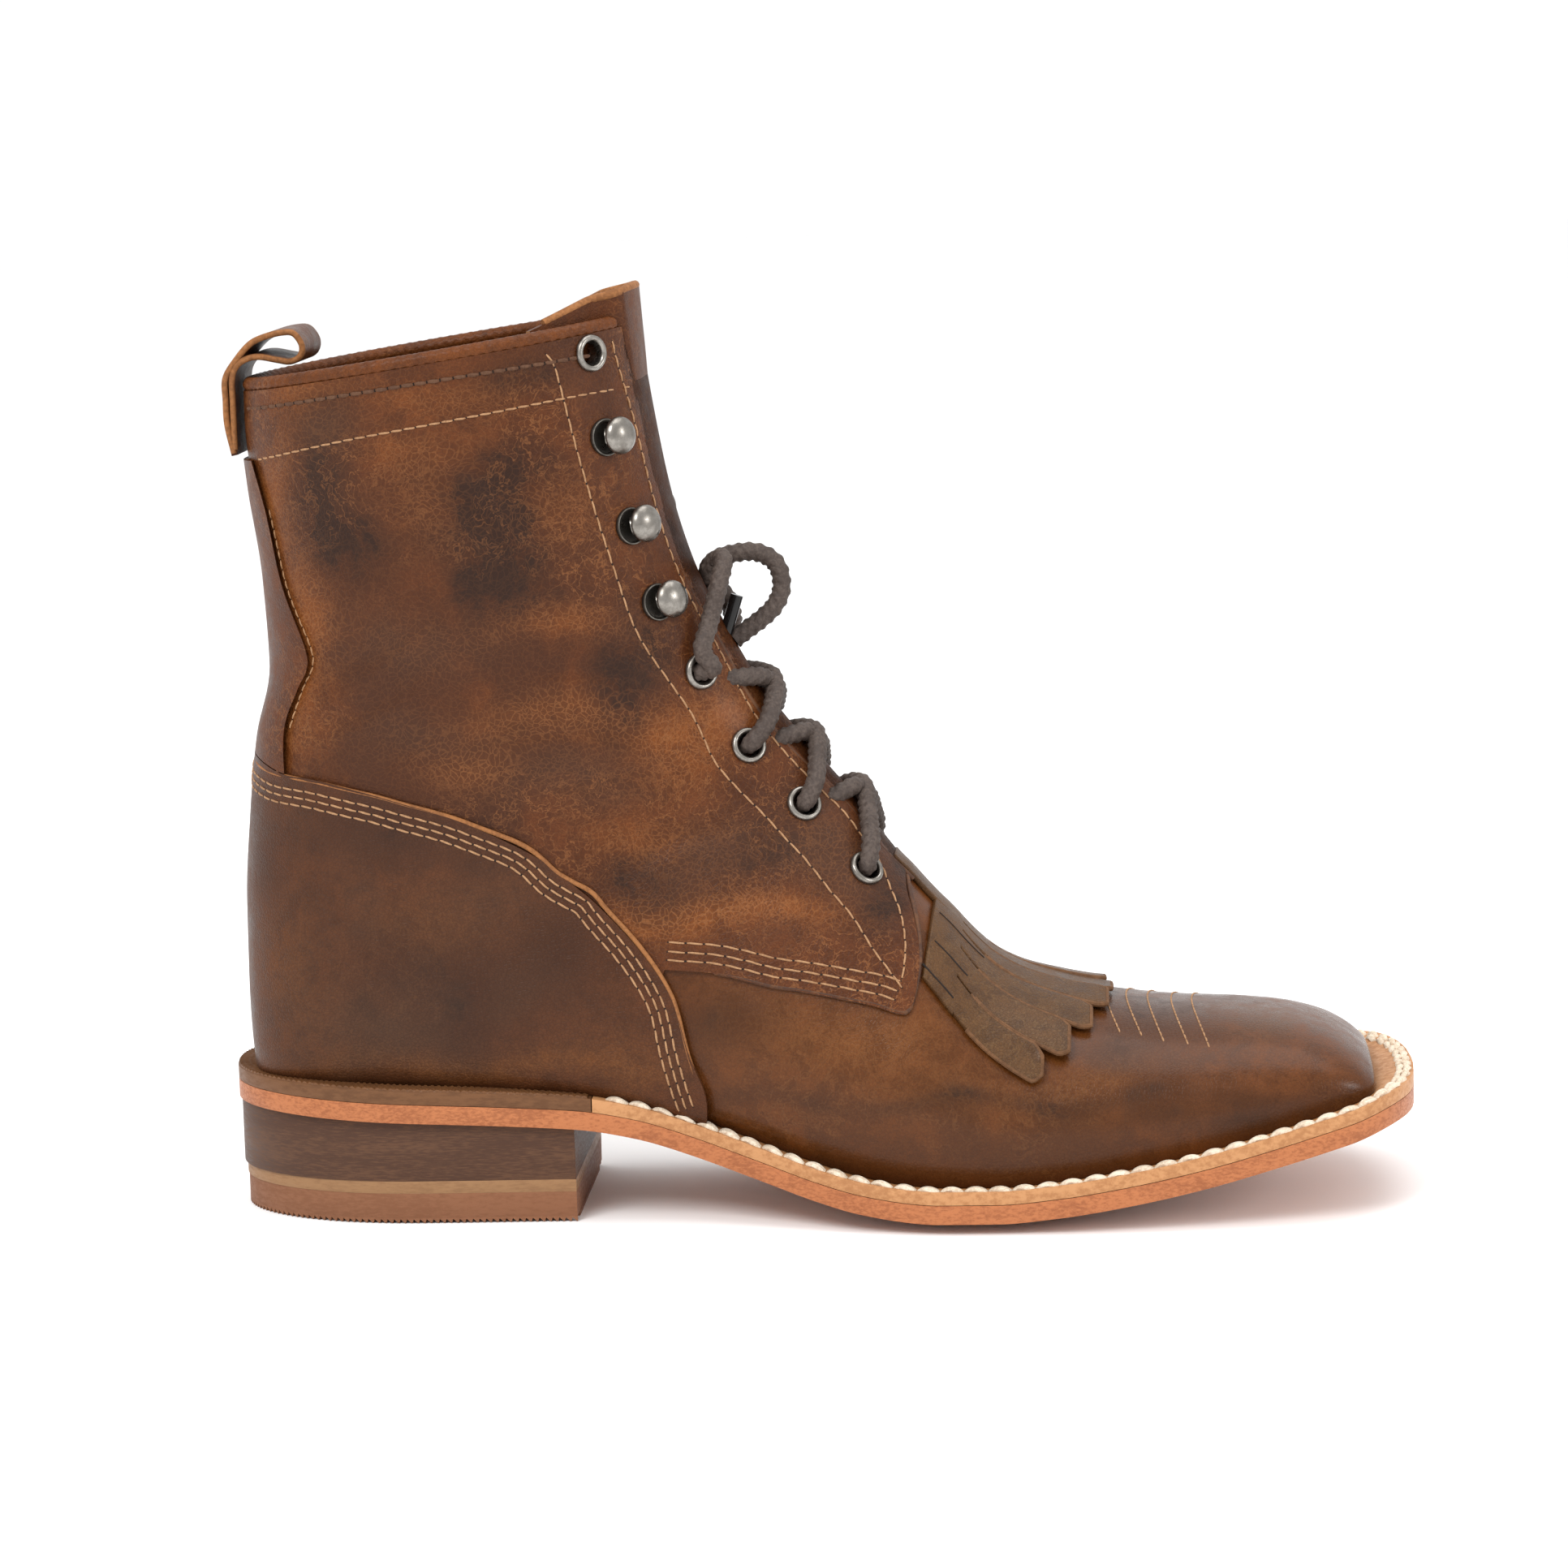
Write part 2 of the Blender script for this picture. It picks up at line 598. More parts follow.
class Forms:
    """Solids that the leather pieces are cut from."""

    @staticmethod
    def last(name: str, offset: float, past: float = 0.0, rows: int = 210, turns: int = 220,
             relief: Optional[Callable[[Array, Array], Array]] = None) -> bpy.types.Object:
        """Makes the last as a solid, grown by an offset and a relief, up to the collar and a little past it.

        Args:
            name: the solid's name.
            offset: growth off the skin.
            past: height past the collar.
            rows: sections.
            turns: points round each.
            relief: height to add.

        Returns:
            The solid.
        """
        at = np.linspace(0, COLLAR_AT + past, rows)[:, None]
        turn = np.linspace(0, 2 * math.pi, turns, endpoint=False)[None, :]
        grown = offset + (relief(at, turn) if relief else 0.0)
        return Modeller.grid(name, Last.point(at, turn, grown), wrap=True, caps=True)

    @staticmethod
    def below_sole(gap: float) -> bpy.types.Object:
        """Makes everything below the welt's top as a cutter."""
        x = np.linspace(-BOOT_LENGTH * 0.55, BOOT_LENGTH * 0.55, 240)[:, None]
        y = np.linspace(-SOLE_WIDTH * 0.7, SOLE_WIDTH * 0.7, 60)[None, :]
        edge = np.clip(y, -SOLE_WIDTH / 2, SOLE_WIDTH / 2)
        z = Sole.top(x, edge) + gap
        top = np.stack([x + 0 * y, y + 0 * x, z], -1)
        bottom = np.stack([x + 0 * y, y + 0 * x, z * 0 - 30], -1)[:, ::-1]
        return Modeller.grid("below", np.concatenate([top, bottom], 1), wrap=True, caps=True)

    @staticmethod
    def throat(least: float, start: float) -> bpy.types.Object:
        """Makes the gap between the facings as a cutter.

        Args:
            least: smallest half width.
            start: where the gap begins.

        Returns:
            The cutter.
        """
        at = np.linspace(start, 24.4, 60)
        half = throat_half(at, least)
        back, front = Last.point(at, 0.0), Last.point(at, math.pi)
        deep, out = back + (front - back) * 0.72, back + (front - back) * 1.2
        ring = [
            np.stack([deep[:, 0], -half, deep[:, 2]], 1),
            np.stack([out[:, 0], -half, out[:, 2]], 1),
            np.stack([out[:, 0], half, out[:, 2]], 1),
            np.stack([deep[:, 0], half, deep[:, 2]], 1),
        ]
        return Modeller.grid("throat", np.stack(ring, 1), wrap=True, caps=True)

    @staticmethod
    def counter(gap: float) -> bpy.types.Object:
        """Makes the counter's side view as a prism, grown by a gap."""
        line = resample(Last.side_line(COUNTER_LINE), 2.0)
        way = np.gradient(line, axis=0)
        way /= np.linalg.norm(way, axis=1, keepdims=True)
        line = line + np.stack([-way[:, 1], way[:, 0]], 1) * gap
        ends = [[-BOOT_LENGTH, line[0, 1]]], [[line[-1, 0], -FAR], [-BOOT_LENGTH, -FAR]]
        return Modeller.prism("counter_cut", np.concatenate([ends[0], line, ends[1]]))

    @staticmethod
    def quarter() -> bpy.types.Object:
        """Makes the quarters' side view as a prism."""
        line = resample(Last.side_line(QUARTER_LINE), 2.0)
        start = [[-BOOT_LENGTH, FAR], [-BOOT_LENGTH, 0], [line[0, 0] - LAST_LENGTH * 0.1, 0]]
        return Modeller.prism("quarter_cut", np.concatenate([start, line, [[BOOT_LENGTH * 0.2, FAR]]]))


class Crease(NamedTuple):
    """A fold in the leather, from one place and share to another on one side."""

    at: float
    share: float
    to_at: float
    to_share: float
    depth: float
    width: float
    side: float


CREASES = [
    Crease(16.2, 0.84, 18.0, 0.5, 0.55, 3.0, -1),
    Crease(17.3, 0.86, 18.9, 0.62, 0.45, 2.6, -1),
    Crease(15.0, 0.84, 16.6, 0.6, 0.5, 3.2, -1),
    Crease(18.2, 0.3, 19.4, 0.62, 0.45, 3.4, -1),
    Crease(19.0, 0.16, 19.9, 0.5, 0.6, 3.6, -1),
    Crease(19.8, 0.2, 20.4, 0.44, 0.4, 3.0, -1),
    Crease(13.2, 0.8, 14.0, 0.66, 0.4, 3.4, -1),
    Crease(8.2, 0.42, 8.9, 0.62, 0.3, 2.6, -1),
    Crease(8.7, 0.36, 9.3, 0.6, 0.28, 2.4, -1),
    Crease(20.4, 0.68, 22.0, 0.5, 0.3, 3.4, -1),
    Crease(16.0, 0.84, 18.1, 0.5, 0.5, 3.0, 1),
    Crease(18.8, 0.18, 19.7, 0.52, 0.55, 3.4, 1),
    Crease(14.8, 0.84, 16.6, 0.6, 0.45, 3.2, 1),
    Crease(8.3, 0.42, 9.0, 0.62, 0.3, 2.6, 1),
]


class Patch(NamedTuple):
    """A soft patch of a leather's masks in the side view: its middle, half width, half height and strength."""

    kind: str
    x: float
    z: float
    wide: float
    high: float
    strength: float


PATCHES = [
    Patch("dark", -118, 190, 8, 17, 0.85),
    Patch("dark", -112, 172, 12, 12, 0.75),
    Patch("dark", -74, 184, 11, 12, 0.75),
    Patch("dark", -74, 166, 13, 8, 0.8),
    Patch("dark", -70, 214, 12, 5, 0.85),
    Patch("dark", -58, 224, 9, 5, 0.6),
    Patch("dark", -43, 141, 9, 11, 0.7),
    Patch("dark", -10, 92, 12, 7, 0.75),
    Patch("dark", -49, 87, 10, 8, 0.65),
    Patch("dark", 20, 81, 8, 9, 0.9),
    Patch("dark", -30, 172, 6, 12, 0.35),
    Patch("dark", -86, 97, 9, 7, 0.4),
    Patch("haze", -100, 149, 20, 8, 0.7),
    Patch("haze", -121, 203, 10, 7, 0.7),
    Patch("haze", -95, 127, 18, 6, 0.6),
    Patch("haze", -58, 113, 19, 7, 0.85),
    Patch("haze", -27, 92, 15, 9, 0.75),
    Patch("haze", 2, 96, 11, 8, 1.0),
    Patch("haze", 10, 88, 9, 7, 0.8),
    Patch("warm", -128, 150, 7, 24, 0.95),
    Patch("warm", -131, 187, 4, 13, 0.8),
    Patch("warm", -126, 215, 9, 6, 0.7),
    Patch("warm", -96, 199, 15, 5, 0.5),
    Patch("warm", -90, 186, 9, 9, 0.45),
    Patch("warm", -57, 129, 21, 6, 1.0),
    Patch("warm", -32, 121, 10, 9, 0.8),
    Patch("warm", -84, 118, 12, 5, 0.8),
    Patch("warm", -60, 180, 12, 9, 0.5),
    Patch("warm", -62, 153, 18, 4, 0.7),
    Patch("warm", -18, 128, 10, 8, 0.6),
    Patch("warm", -38, 79, 22, 5, 1.0),
    Patch("warm", -8, 79, 20, 3, 0.8),
    Patch("warm", -44, 98, 13, 5, 0.6),
    Patch("warm", -88, 212, 20, 4, 0.5),
]
VAMP_PATCHES = [
    Patch("dark", 84, 48, 14, 7, 0.7),
    Patch("dark", 45, 50, 9, 6, 0.75),
    Patch("dark", 30, 32, 90, 2.5, 0.5),
    Patch("dark", 110, 27, 30, 3, 0.35),
    Patch("dark", -24, 52, 14, 7, 0.6),
    Patch("warm", 12, 48, 26, 7, 0.7),
    Patch("warm", 40, 35, 30, 6, 0.35),
    Patch("warm", 70, 37, 10, 4, 0.5),
    Patch("haze", 115, 48, 18, 3, 0.35),
]
COUNTER_PATCHES = [
    Patch("dark", -90, 62, 24, 14, 0.6),
    Patch("dark", -116, 100, 18, 7, 0.45),
    Patch("dark", -60, 70, 10, 12, 0.5),
    Patch("haze", -118, 50, 20, 12, 0.6),
    Patch("haze", -80, 84, 20, 10, 0.35),
    Patch("warm", -88, 41, 50, 3.5, 0.8),
    Patch("warm", -50, 42, 8, 10, 0.45),
    Patch("warm", -95, 78, 14, 8, 0.35),
    Patch("warm", -134, 66, 9, 16, 0.4),
]


def paint(obj: bpy.types.Object, patches: Sequence[Patch]) -> None:
    """Writes the leather's masks on a piece's vertices, mirrored and moved a little on the far side.

    Args:
        obj: the piece.
        patches: the patches to write, placed by hand.
    """
    count = len(obj.data.vertices)
    place = np.empty(count * 3, np.float32)
    obj.data.vertices.foreach_get("co", place)
    place = place.reshape(-1, 3) / MM
    far = place[:, 1] > 0
    x = place[:, 0] + np.where(far, 9.0, 0.0) + 2.5 * np.sin(place[:, 2] / 9)
    z = place[:, 2] + np.where(far, -6.0, 0.0) + 2.0 * np.sin(place[:, 0] / 8)
    for kind in ("dark", "warm", "haze"):
        mask = np.zeros(count)
        for patch in patches:
            if patch.kind == kind:
                mask += patch.strength * np.exp(-((x - patch.x) ** 2 / patch.wide**2 + (z - patch.z) ** 2 / patch.high**2))
        layer = obj.data.attributes.new(kind, "FLOAT", "POINT")
        layer.data.foreach_set("value", np.clip(mask, 0, 1).astype(np.float32))


def relief(at: Array, turn: Array) -> Array:
    """Returns how far the quarters' leather stands proud or dips in millimetres at each place.

    Args:
        at: places along the last.
        turn: turns round it.

    Returns:
        The height over the skin, in millimetres.
    """
    place = Last.point(at, turn)
    grown = 0.22 * np.sin(place[..., 0] / 17 + 1.3 * np.sin(place[..., 2] / 23)) * np.sin(place[..., 2] / 19 + 0.6)
    grown = grown * smoothstep(at, 11, 14)
    side = np.sign(np.sin(turn + 1e-9)) + 0 * at
    for fold in CREASES:
        ends = Last.side_line([(fold.at, fold.share), (fold.to_at, fold.to_share)])
        way = ends[1] - ends[0]
        rel = place[..., [0, 2]] - ends[0]
        t = np.clip((rel @ way) / (way @ way), -0.2, 1.2)
        bow = 3.0 * np.sin(math.pi * np.clip(t, 0, 1))
        off = (rel[..., 0] * way[1] - rel[..., 1] * way[0]) / np.linalg.norm(way) - bow
        fade = smoothstep(t, -0.15, 0.25) * (1 - smoothstep(t, 0.75, 1.15)) * (side == fold.side)
        u = off / fold.width
        grown = grown + fade * fold.depth * (0.55 * np.exp(-((u - 1.1) ** 2)) - np.exp(-(u**2) * 1.6) + 0.4 * np.exp(-((u + 1.2) ** 2)))
    return grown


class Tone(NamedTuple):
    """Linear colours of a leather: body, dark blotches, warm stretched places, veins and greyish haze."""

    body: tuple[float, float, float] = (0.058, 0.0155, 0.0032)
    dark: tuple[float, float, float] = (0.016, 0.006, 0.003)
    warm: tuple[float, float, float] = (0.155, 0.044, 0.0075)
    vein: tuple[float, float, float] = (0.23, 0.088, 0.028)
    haze: tuple[float, float, float] = (0.052, 0.023, 0.012)


class Nodes:
    """Short hand for a material's or a group's node tree."""

    def __init__(self, tree: bpy.types.NodeTree) -> None:
        """Keeps the tree that the nodes go in.

        Args:
            tree: the node tree.
        """
        self.tree = tree

    def add(self, kind: str, **inputs: object) -> bpy.types.Node:
        """Adds a node.

        Args:
            kind: The node's type name without the ShaderNode prefix.
            inputs: Values or sockets for its inputs, and its own properties with a leading underscore.

        Returns:
            The node.
        """
        node = self.tree.nodes.new("ShaderNode" + kind)
        for key, value in inputs.items():
            if key.startswith("_"):
                setattr(node, key[1:], value)
        for key, value in inputs.items():
            if key.startswith("_"):
                continue
            socket = node.inputs[int(key[1:])] if key[0] == "i" and key[1:].isdigit() else node.inputs[key.replace("__", " ")]
            if isinstance(value, bpy.types.NodeSocket):
                self.tree.links.new(value, socket)
            else:
                socket.default_value = value
        return node

    def noise(self, vector: bpy.types.NodeSocket, scale: float, detail: float = 3, rough: float = 0.5,
            warp: float = 0.0) -> bpy.types.NodeSocket:
        """Returns a noise value."""
        return self.add("TexNoise", Vector=vector, Scale=scale, Detail=detail, Roughness=rough,
                Distortion=warp).outputs[0]

    def ramp(self, value: bpy.types.NodeSocket, low: float, high: float,
            to: tuple[float, float] = (0.0, 1.0)) -> bpy.types.NodeSocket:
        """Returns value mapped smoothly from low..high to a range."""
        return self.add("MapRange", _interpolation_type="SMOOTHSTEP", i0=value, i1=low, i2=high, i3=to[0],
                i4=to[1]).outputs[0]

    def math(self, how: str, a: object, b: object = 0.0) -> bpy.types.NodeSocket:
        """Returns the result of a Math node."""
        return self.add("Math", _operation=how, i0=a, i1=b).outputs[0]

    def mix(self, factor: object, a: object, b: object, how: str = "MIX") -> bpy.types.NodeSocket:
        """Returns two colours mixed."""
        rgba = [(*c, 1.0) if isinstance(c, tuple) and len(c) == 3 else c for c in (a, b)]
        return self.add("Mix", _data_type="RGBA", _blend_type=how, i0=factor, i6=rgba[0], i7=rgba[1]).outputs[2]


class Effects:
    """Node groups shared by the materials."""

    @staticmethod
    def _group(name: str, inputs: dict[str, float], outputs: Sequence[str]) -> tuple[bpy.types.NodeTree,
            Nodes, bpy.types.Node]:
        """Starts a node group with a vector and named inputs and outputs.

        Args:
            name: the group's name.
            inputs: inputs and their values.
            outputs: names of the outputs.

        Returns:
            The tree, its nodes and its input node.
        """
        tree = bpy.data.node_groups.new(name, "ShaderNodeTree")
        tree.interface.new_socket("Vector", in_out="INPUT", socket_type="NodeSocketVector")
        for key, value in inputs.items():
            tree.interface.new_socket(key, in_out="INPUT", socket_type="NodeSocketFloat").default_value = value
        for key in outputs:
            tree.interface.new_socket(key, in_out="OUTPUT", socket_type="NodeSocketFloat")
        entry = tree.nodes.new("NodeGroupInput")
        return tree, Nodes(tree), entry

    @classmethod
    def grain(cls) -> bpy.types.NodeTree:
        """Makes the leather's grain: pebbles between fine wrinkles as a height, and its pores."""
        tree, n, entry = cls._group("leather_grain", {"Size": 1.0}, ["Height", "Pores"])
        at = n.add("VectorMath", _operation="SCALE", Vector=entry.outputs["Vector"],
                Scale=entry.outputs["Size"]).outputs[0]
        cells = n.add("TexVoronoi", _feature="DISTANCE_TO_EDGE", Vector=at, Scale=1050).outputs[0]
        fine = n.noise(at, 1900, 1)
        height = n.math("ADD", n.math("MULTIPLY", n.ramp(cells, 0.0, 0.2), 0.6), n.math("MULTIPLY", fine, 0.5))
        out = tree.nodes.new("NodeGroupOutput")
        tree.links.new(height, out.inputs["Height"])
        tree.links.new(n.ramp(cells, 0.0, 0.1), out.inputs["Pores"])
        return tree

    @classmethod
    def pull_up(cls) -> bpy.types.NodeTree:
        """Makes the masks of waxed leather: blotches, long veins, close crackle and mottling."""
        tree, n, entry = cls._group("pull_up", {"Size": 1.0}, ["Blotch", "Vein", "Crackle", "Mottle", "Haze"])
        at = n.add("VectorMath", _operation="SCALE", Vector=entry.outputs["Vector"],
                Scale=entry.outputs["Size"]).outputs[0]
        warp = n.add("TexNoise", Vector=at, Scale=55, Detail=3, Roughness=0.6).outputs[1]
        bent = n.add("Mix", _data_type="VECTOR", i0=0.011, i4=at, i5=warp).outputs[1]
        broad = n.add("SeparateXYZ",
                Vector=n.add("TexNoise", Vector=bent, Scale=21, Detail=3, Roughness=0.6).outputs[1])
        lines = n.add("SeparateXYZ",
                Vector=n.add("TexNoise", Vector=bent, Scale=150, Detail=3, Roughness=0.62).outputs[1])
        mottle = n.noise(bent, 150, 4, 0.72)
        first = n.ramp(n.math("ABSOLUTE", n.math("SUBTRACT", lines.outputs[0], 0.5)), 0.02, 0.0)
        second = n.ramp(n.math("ABSOLUTE", n.math("SUBTRACT", lines.outputs[1], 0.5)), 0.014, 0.0)
        where = n.ramp(broad.outputs[1], 0.44, 0.6)
        vein = n.math("MULTIPLY", n.math("MAXIMUM", first, second), where)
        cells = n.add("TexVoronoi", _feature="DISTANCE_TO_EDGE", Vector=bent, Scale=640).outputs[0]
        crackle = n.ramp(cells, 0.13, 0.0)
        out = tree.nodes.new("NodeGroupOutput")
        tree.links.new(n.ramp(broad.outputs[0], 0.49, 0.64), out.inputs["Blotch"])
        tree.links.new(n.ramp(broad.outputs[2], 0.5, 0.66), out.inputs["Haze"])
        for key, socket in (("Vein", vein), ("Crackle", crackle), ("Mottle", mottle)):
            tree.links.new(socket, out.inputs[key])
        return tree


@dataclass
class Finish:
    """A material that builds its own nodes."""

    name: str

    def material(self) -> bpy.types.Material:
        """Returns the material, made once."""
        made = bpy.data.materials.get(self.name)
        if made is None:
            made = bpy.data.materials.new(self.name)
            made.use_nodes = True
            nodes = Nodes(made.node_tree)
            self.build(nodes, made.node_tree.nodes["Principled BSDF"])
        return made

    def build(self, n: Nodes, shader: bpy.types.Node) -> None:
        """Wires the material."""
        raise NotImplementedError


def bump(n: Nodes, shader: bpy.types.Node, height: bpy.types.NodeSocket, strength: float, distance: float) -> None:
    """Gives the shader a bump from a height."""
    made = n.add("Bump", Strength=strength, Distance=distance, Height=height)
    n.tree.links.new(made.outputs[0], shader.inputs["Normal"])


@dataclass
class PullUpLeather(Finish):
    """Waxed leather that pales where it is stretched."""

    tone: Tone = Tone()
    veins: float = 0.5
    crackle: float = 0.55
    blotches: float = 0.45
    haze: float = 0.25
    warmth: float = 0.0
    roughness: float = 0.42
    coat: float = 0.08
    grain: float = 0.35
    size: float = 1.0

    def build(self, n: Nodes, shader: bpy.types.Node) -> None:
        """Wires body colour, hand-placed and random masks, veins, grain and gloss.

        Args:
            n: the material's nodes.
            shader: its Principled BSDF.
        """
        at = n.add("TexCoord").outputs["Object"]
        marks = n.add("Group", _node_tree=bpy.data.node_groups["pull_up"], Vector=at, Size=self.size)
        grain = n.add("Group", _node_tree=bpy.data.node_groups["leather_grain"], Vector=at, Size=self.size)
        placed = {kind: n.add("Attribute", _attribute_name=kind).outputs["Fac"] for kind in ("dark", "warm", "haze")}
        mottle = marks.outputs["Mottle"]
        rough_edge = n.ramp(mottle, 0.3, 0.7, (0.45, 1.35))
        dark = n.math("MULTIPLY",
                n.math("ADD", placed["dark"], n.math("MULTIPLY", marks.outputs["Blotch"], self.blotches)), rough_edge)
        warm = n.math("MULTIPLY", n.math("ADD", placed["warm"], self.warmth), rough_edge)
        haze = n.math("ADD", placed["haze"], n.math("MULTIPLY", marks.outputs["Haze"], self.haze))
        body = n.mix(n.ramp(mottle, 0.35, 0.68), self.tone.body, tuple(c * 1.55 for c in self.tone.body))
        body = n.mix(n.math("MINIMUM", warm, 0.9), body, self.tone.warm)
        body = n.mix(n.math("MINIMUM", dark, 0.92), body, self.tone.dark)
        body = n.mix(n.math("MINIMUM", n.math("MULTIPLY", haze, 0.6), 0.6), body, self.tone.haze)
        stretched = n.math("ADD", n.math("MULTIPLY", placed["warm"], 0.9), n.math("MULTIPLY", placed["haze"], 0.25))
        close = n.math("MULTIPLY", n.math("MULTIPLY", marks.outputs["Crackle"], self.crackle),
                n.math("ADD", stretched, 0.16))
        lines = n.math("MAXIMUM", n.math("MULTIPLY", marks.outputs["Vein"], self.veins), close)
        body = n.mix(n.math("MULTIPLY", lines, n.ramp(dark, 0.0, 1.0, (1.0, 0.6))), body, self.tone.vein)
        body = n.mix(n.ramp(grain.outputs["Pores"], 1.0, 0.0, (0.0, 0.3)), body,
                tuple(c * 0.45 for c in self.tone.body))
        n.tree.links.new(body, shader.inputs["Base Color"])
        rough = n.ramp(mottle, 0.3, 0.75, (self.roughness - 0.06, self.roughness + 0.14))
        n.tree.links.new(rough, shader.inputs["Roughness"])
        shader.inputs["Specular IOR Level"].default_value = 0.13
        shader.inputs["Coat Weight"].default_value = self.coat
        shader.inputs["Coat Roughness"].default_value = 0.22
        bump(n, shader, grain.outputs["Height"], self.grain, 0.0003)


@dataclass
class Plain(Finish):
    """A surface with speckle, streaks along one way and a fine bump."""

    color: tuple[float, float, float] = (0.5, 0.3, 0.16)
    other: tuple[float, float, float] = (0.3, 0.16, 0.08)
    stretch: tuple[float, float, float] = (1.0, 1.0, 1.0)
    scale: float = 400.0
    roughness: float = 0.55
    metallic: float = 0.0
    coat: float = 0.0
    strength: float = 0.4
    amount: float = 0.7
    contrast: tuple[float, float] = (0.42, 0.62)

    def build(self, n: Nodes, shader: bpy.types.Node) -> None:
        """Wires speckle, streaks and bump.

        Args:
            n: the material's nodes.
            shader: its Principled BSDF.
        """
        at = n.add("Mapping", Vector=n.add("TexCoord").outputs["Object"], Scale=self.stretch).outputs[0]
        speck = n.noise(at, self.scale, 3, 0.65)
        broad = n.noise(at, self.scale * 0.09, 2, 0.6)
        mixed = n.math("ADD", n.math("MULTIPLY", speck, 0.65), n.math("MULTIPLY", broad, 0.35))
        color = n.mix(n.ramp(mixed, self.contrast[0], self.contrast[1], (0.0, self.amount)), self.color, self.other)
        n.tree.links.new(color, shader.inputs["Base Color"])
        rough = n.ramp(speck, 0.3, 0.7, (self.roughness - 0.08, min(1.0, self.roughness + 0.1)))
        n.tree.links.new(rough, shader.inputs["Roughness"])
        shader.inputs["Metallic"].default_value = self.metallic
        shader.inputs["Specular IOR Level"].default_value = 0.5 if self.metallic or self.coat > 0.2 else 0.25
        shader.inputs["Coat Weight"].default_value = self.coat
        bump(n, shader, speck, self.strength, 0.0003)


class Look(Enum):
    """The finishes, one for each material of the boot."""

    UPPER = PullUpLeather("finish_upper")
    VAMP = PullUpLeather(
        "finish_vamp",
        tone=Tone((0.067, 0.0195, 0.0036), (0.022, 0.008, 0.003), (0.13, 0.042, 0.0085),
                (0.2, 0.085, 0.028), (0.09, 0.045, 0.018)),
        veins=0.22, crackle=0.3, blotches=0.36, haze=0.04, roughness=0.27, coat=0.16, grain=0.2,
    )
    COUNTER = PullUpLeather(
        "finish_counter",
        tone=Tone((0.051, 0.016, 0.005), (0.02, 0.0082, 0.0045), (0.108, 0.035, 0.0078), (0.19, 0.08, 0.03),
                (0.056, 0.028, 0.015)),
        veins=0.12, crackle=0.22, blotches=0.35, haze=0.35, roughness=0.42, grain=0.5,
    )
    KILTIE = PullUpLeather(
        "finish_kiltie",
        tone=Tone((0.056, 0.024, 0.0085), (0.022, 0.01, 0.0045), (0.125, 0.072, 0.024), (0.18, 0.1, 0.04),
                (0.07, 0.048, 0.028)),
        veins=0.3, crackle=0.4, blotches=0.45, haze=0.12, warmth=0.1, roughness=0.4, grain=0.5,
    )
    TONGUE = PullUpLeather("finish_tongue", veins=0.3, blotches=0.4, haze=0.2, roughness=0.5)
    SUEDE = Plain("finish_suede", (0.28, 0.13, 0.045), (0.18, 0.078, 0.026), scale=900, roughness=0.9, strength=0.7)
    EDGE = Plain("finish_cut_edge", (0.05, 0.02, 0.01), (0.14, 0.058, 0.022), scale=500, roughness=0.6)
    FRINGE_EDGE = Plain("finish_fringe_edge", (0.13, 0.058, 0.022), (0.07, 0.032, 0.014), scale=600, roughness=0.7)
    RAW_EDGE = Plain("finish_raw_edge", (0.27, 0.11, 0.035), (0.14, 0.055, 0.02), scale=900, roughness=0.75)
    BINDING = PullUpLeather("finish_binding", veins=0.4, blotches=0.2, warmth=0.35, roughness=0.5, grain=0.4)
    OUTSOLE = Plain("finish_outsole", (0.4, 0.14, 0.052), (0.22, 0.066, 0.024), (1, 1, 2.2), 760, 0.45, strength=0.3)
    WELT = Plain("finish_welt", (0.46, 0.225, 0.095), (0.3, 0.125, 0.045), (1, 1, 1.3), 560, 0.5, strength=0.3)
    RAND = Plain("finish_rand", (0.135, 0.057, 0.021), (0.088, 0.036, 0.013), (1, 1, 3), 300, 0.5, strength=0.3)
    INSOLE = Plain("finish_insole", (0.42, 0.27, 0.15), (0.36, 0.22, 0.12), scale=300, roughness=0.75)
    STACK = Plain("finish_stack", (0.058, 0.024, 0.012), (0.125, 0.058, 0.028), (0.5, 0.5, 4), 620, 0.5,
            strength=0.2, amount=0.55)
    LAYER = Plain("finish_layer", (0.26, 0.138, 0.062), (0.2, 0.1, 0.045), (1, 1, 5), 330, 0.5)
    RUBBER = Plain("finish_rubber", (0.205, 0.085, 0.04), (0.165, 0.066, 0.03), (1, 1, 3), 420, 0.6, strength=0.2)
    NICKEL = Plain("finish_nickel", (0.27, 0.25, 0.225), (0.14, 0.127, 0.11), scale=420, roughness=0.3,
            metallic=1.0, strength=0.06)
    PLATE = Plain("finish_plate", (0.13, 0.12, 0.105), (0.04, 0.035, 0.03), scale=420, roughness=0.35,
            metallic=1.0, strength=0.06)
    THREAD = Plain("finish_thread", (0.36, 0.2, 0.1), (0.22, 0.11, 0.05), scale=1500, roughness=0.7, strength=0.5)
    HOLE = Plain("finish_hole", (0.012, 0.007, 0.005), (0.02, 0.011, 0.007), scale=1500, roughness=0.8)
    WELT_THREAD = Plain("finish_welt_thread", (0.68, 0.58, 0.46), (0.45, 0.34, 0.23), scale=1400,
            roughness=0.7, strength=0.6)
    DARK_THREAD = Plain("finish_dark_thread", (0.1, 0.045, 0.022), (0.06, 0.026, 0.014), scale=1500, roughness=0.7)
    LACE = Plain("finish_lace", (0.048, 0.034, 0.028), (0.1, 0.075, 0.062), scale=1300, roughness=0.6, strength=0.7)
    TIP = Plain("finish_tip", (0.006, 0.005, 0.005), (0.01, 0.009, 0.008), scale=300, roughness=0.15,
            coat=0.1, strength=0.05)
    FLOOR = Plain("finish_floor", (0.97, 0.97, 0.97), (0.965, 0.965, 0.965), scale=3, roughness=0.7, strength=0.0)


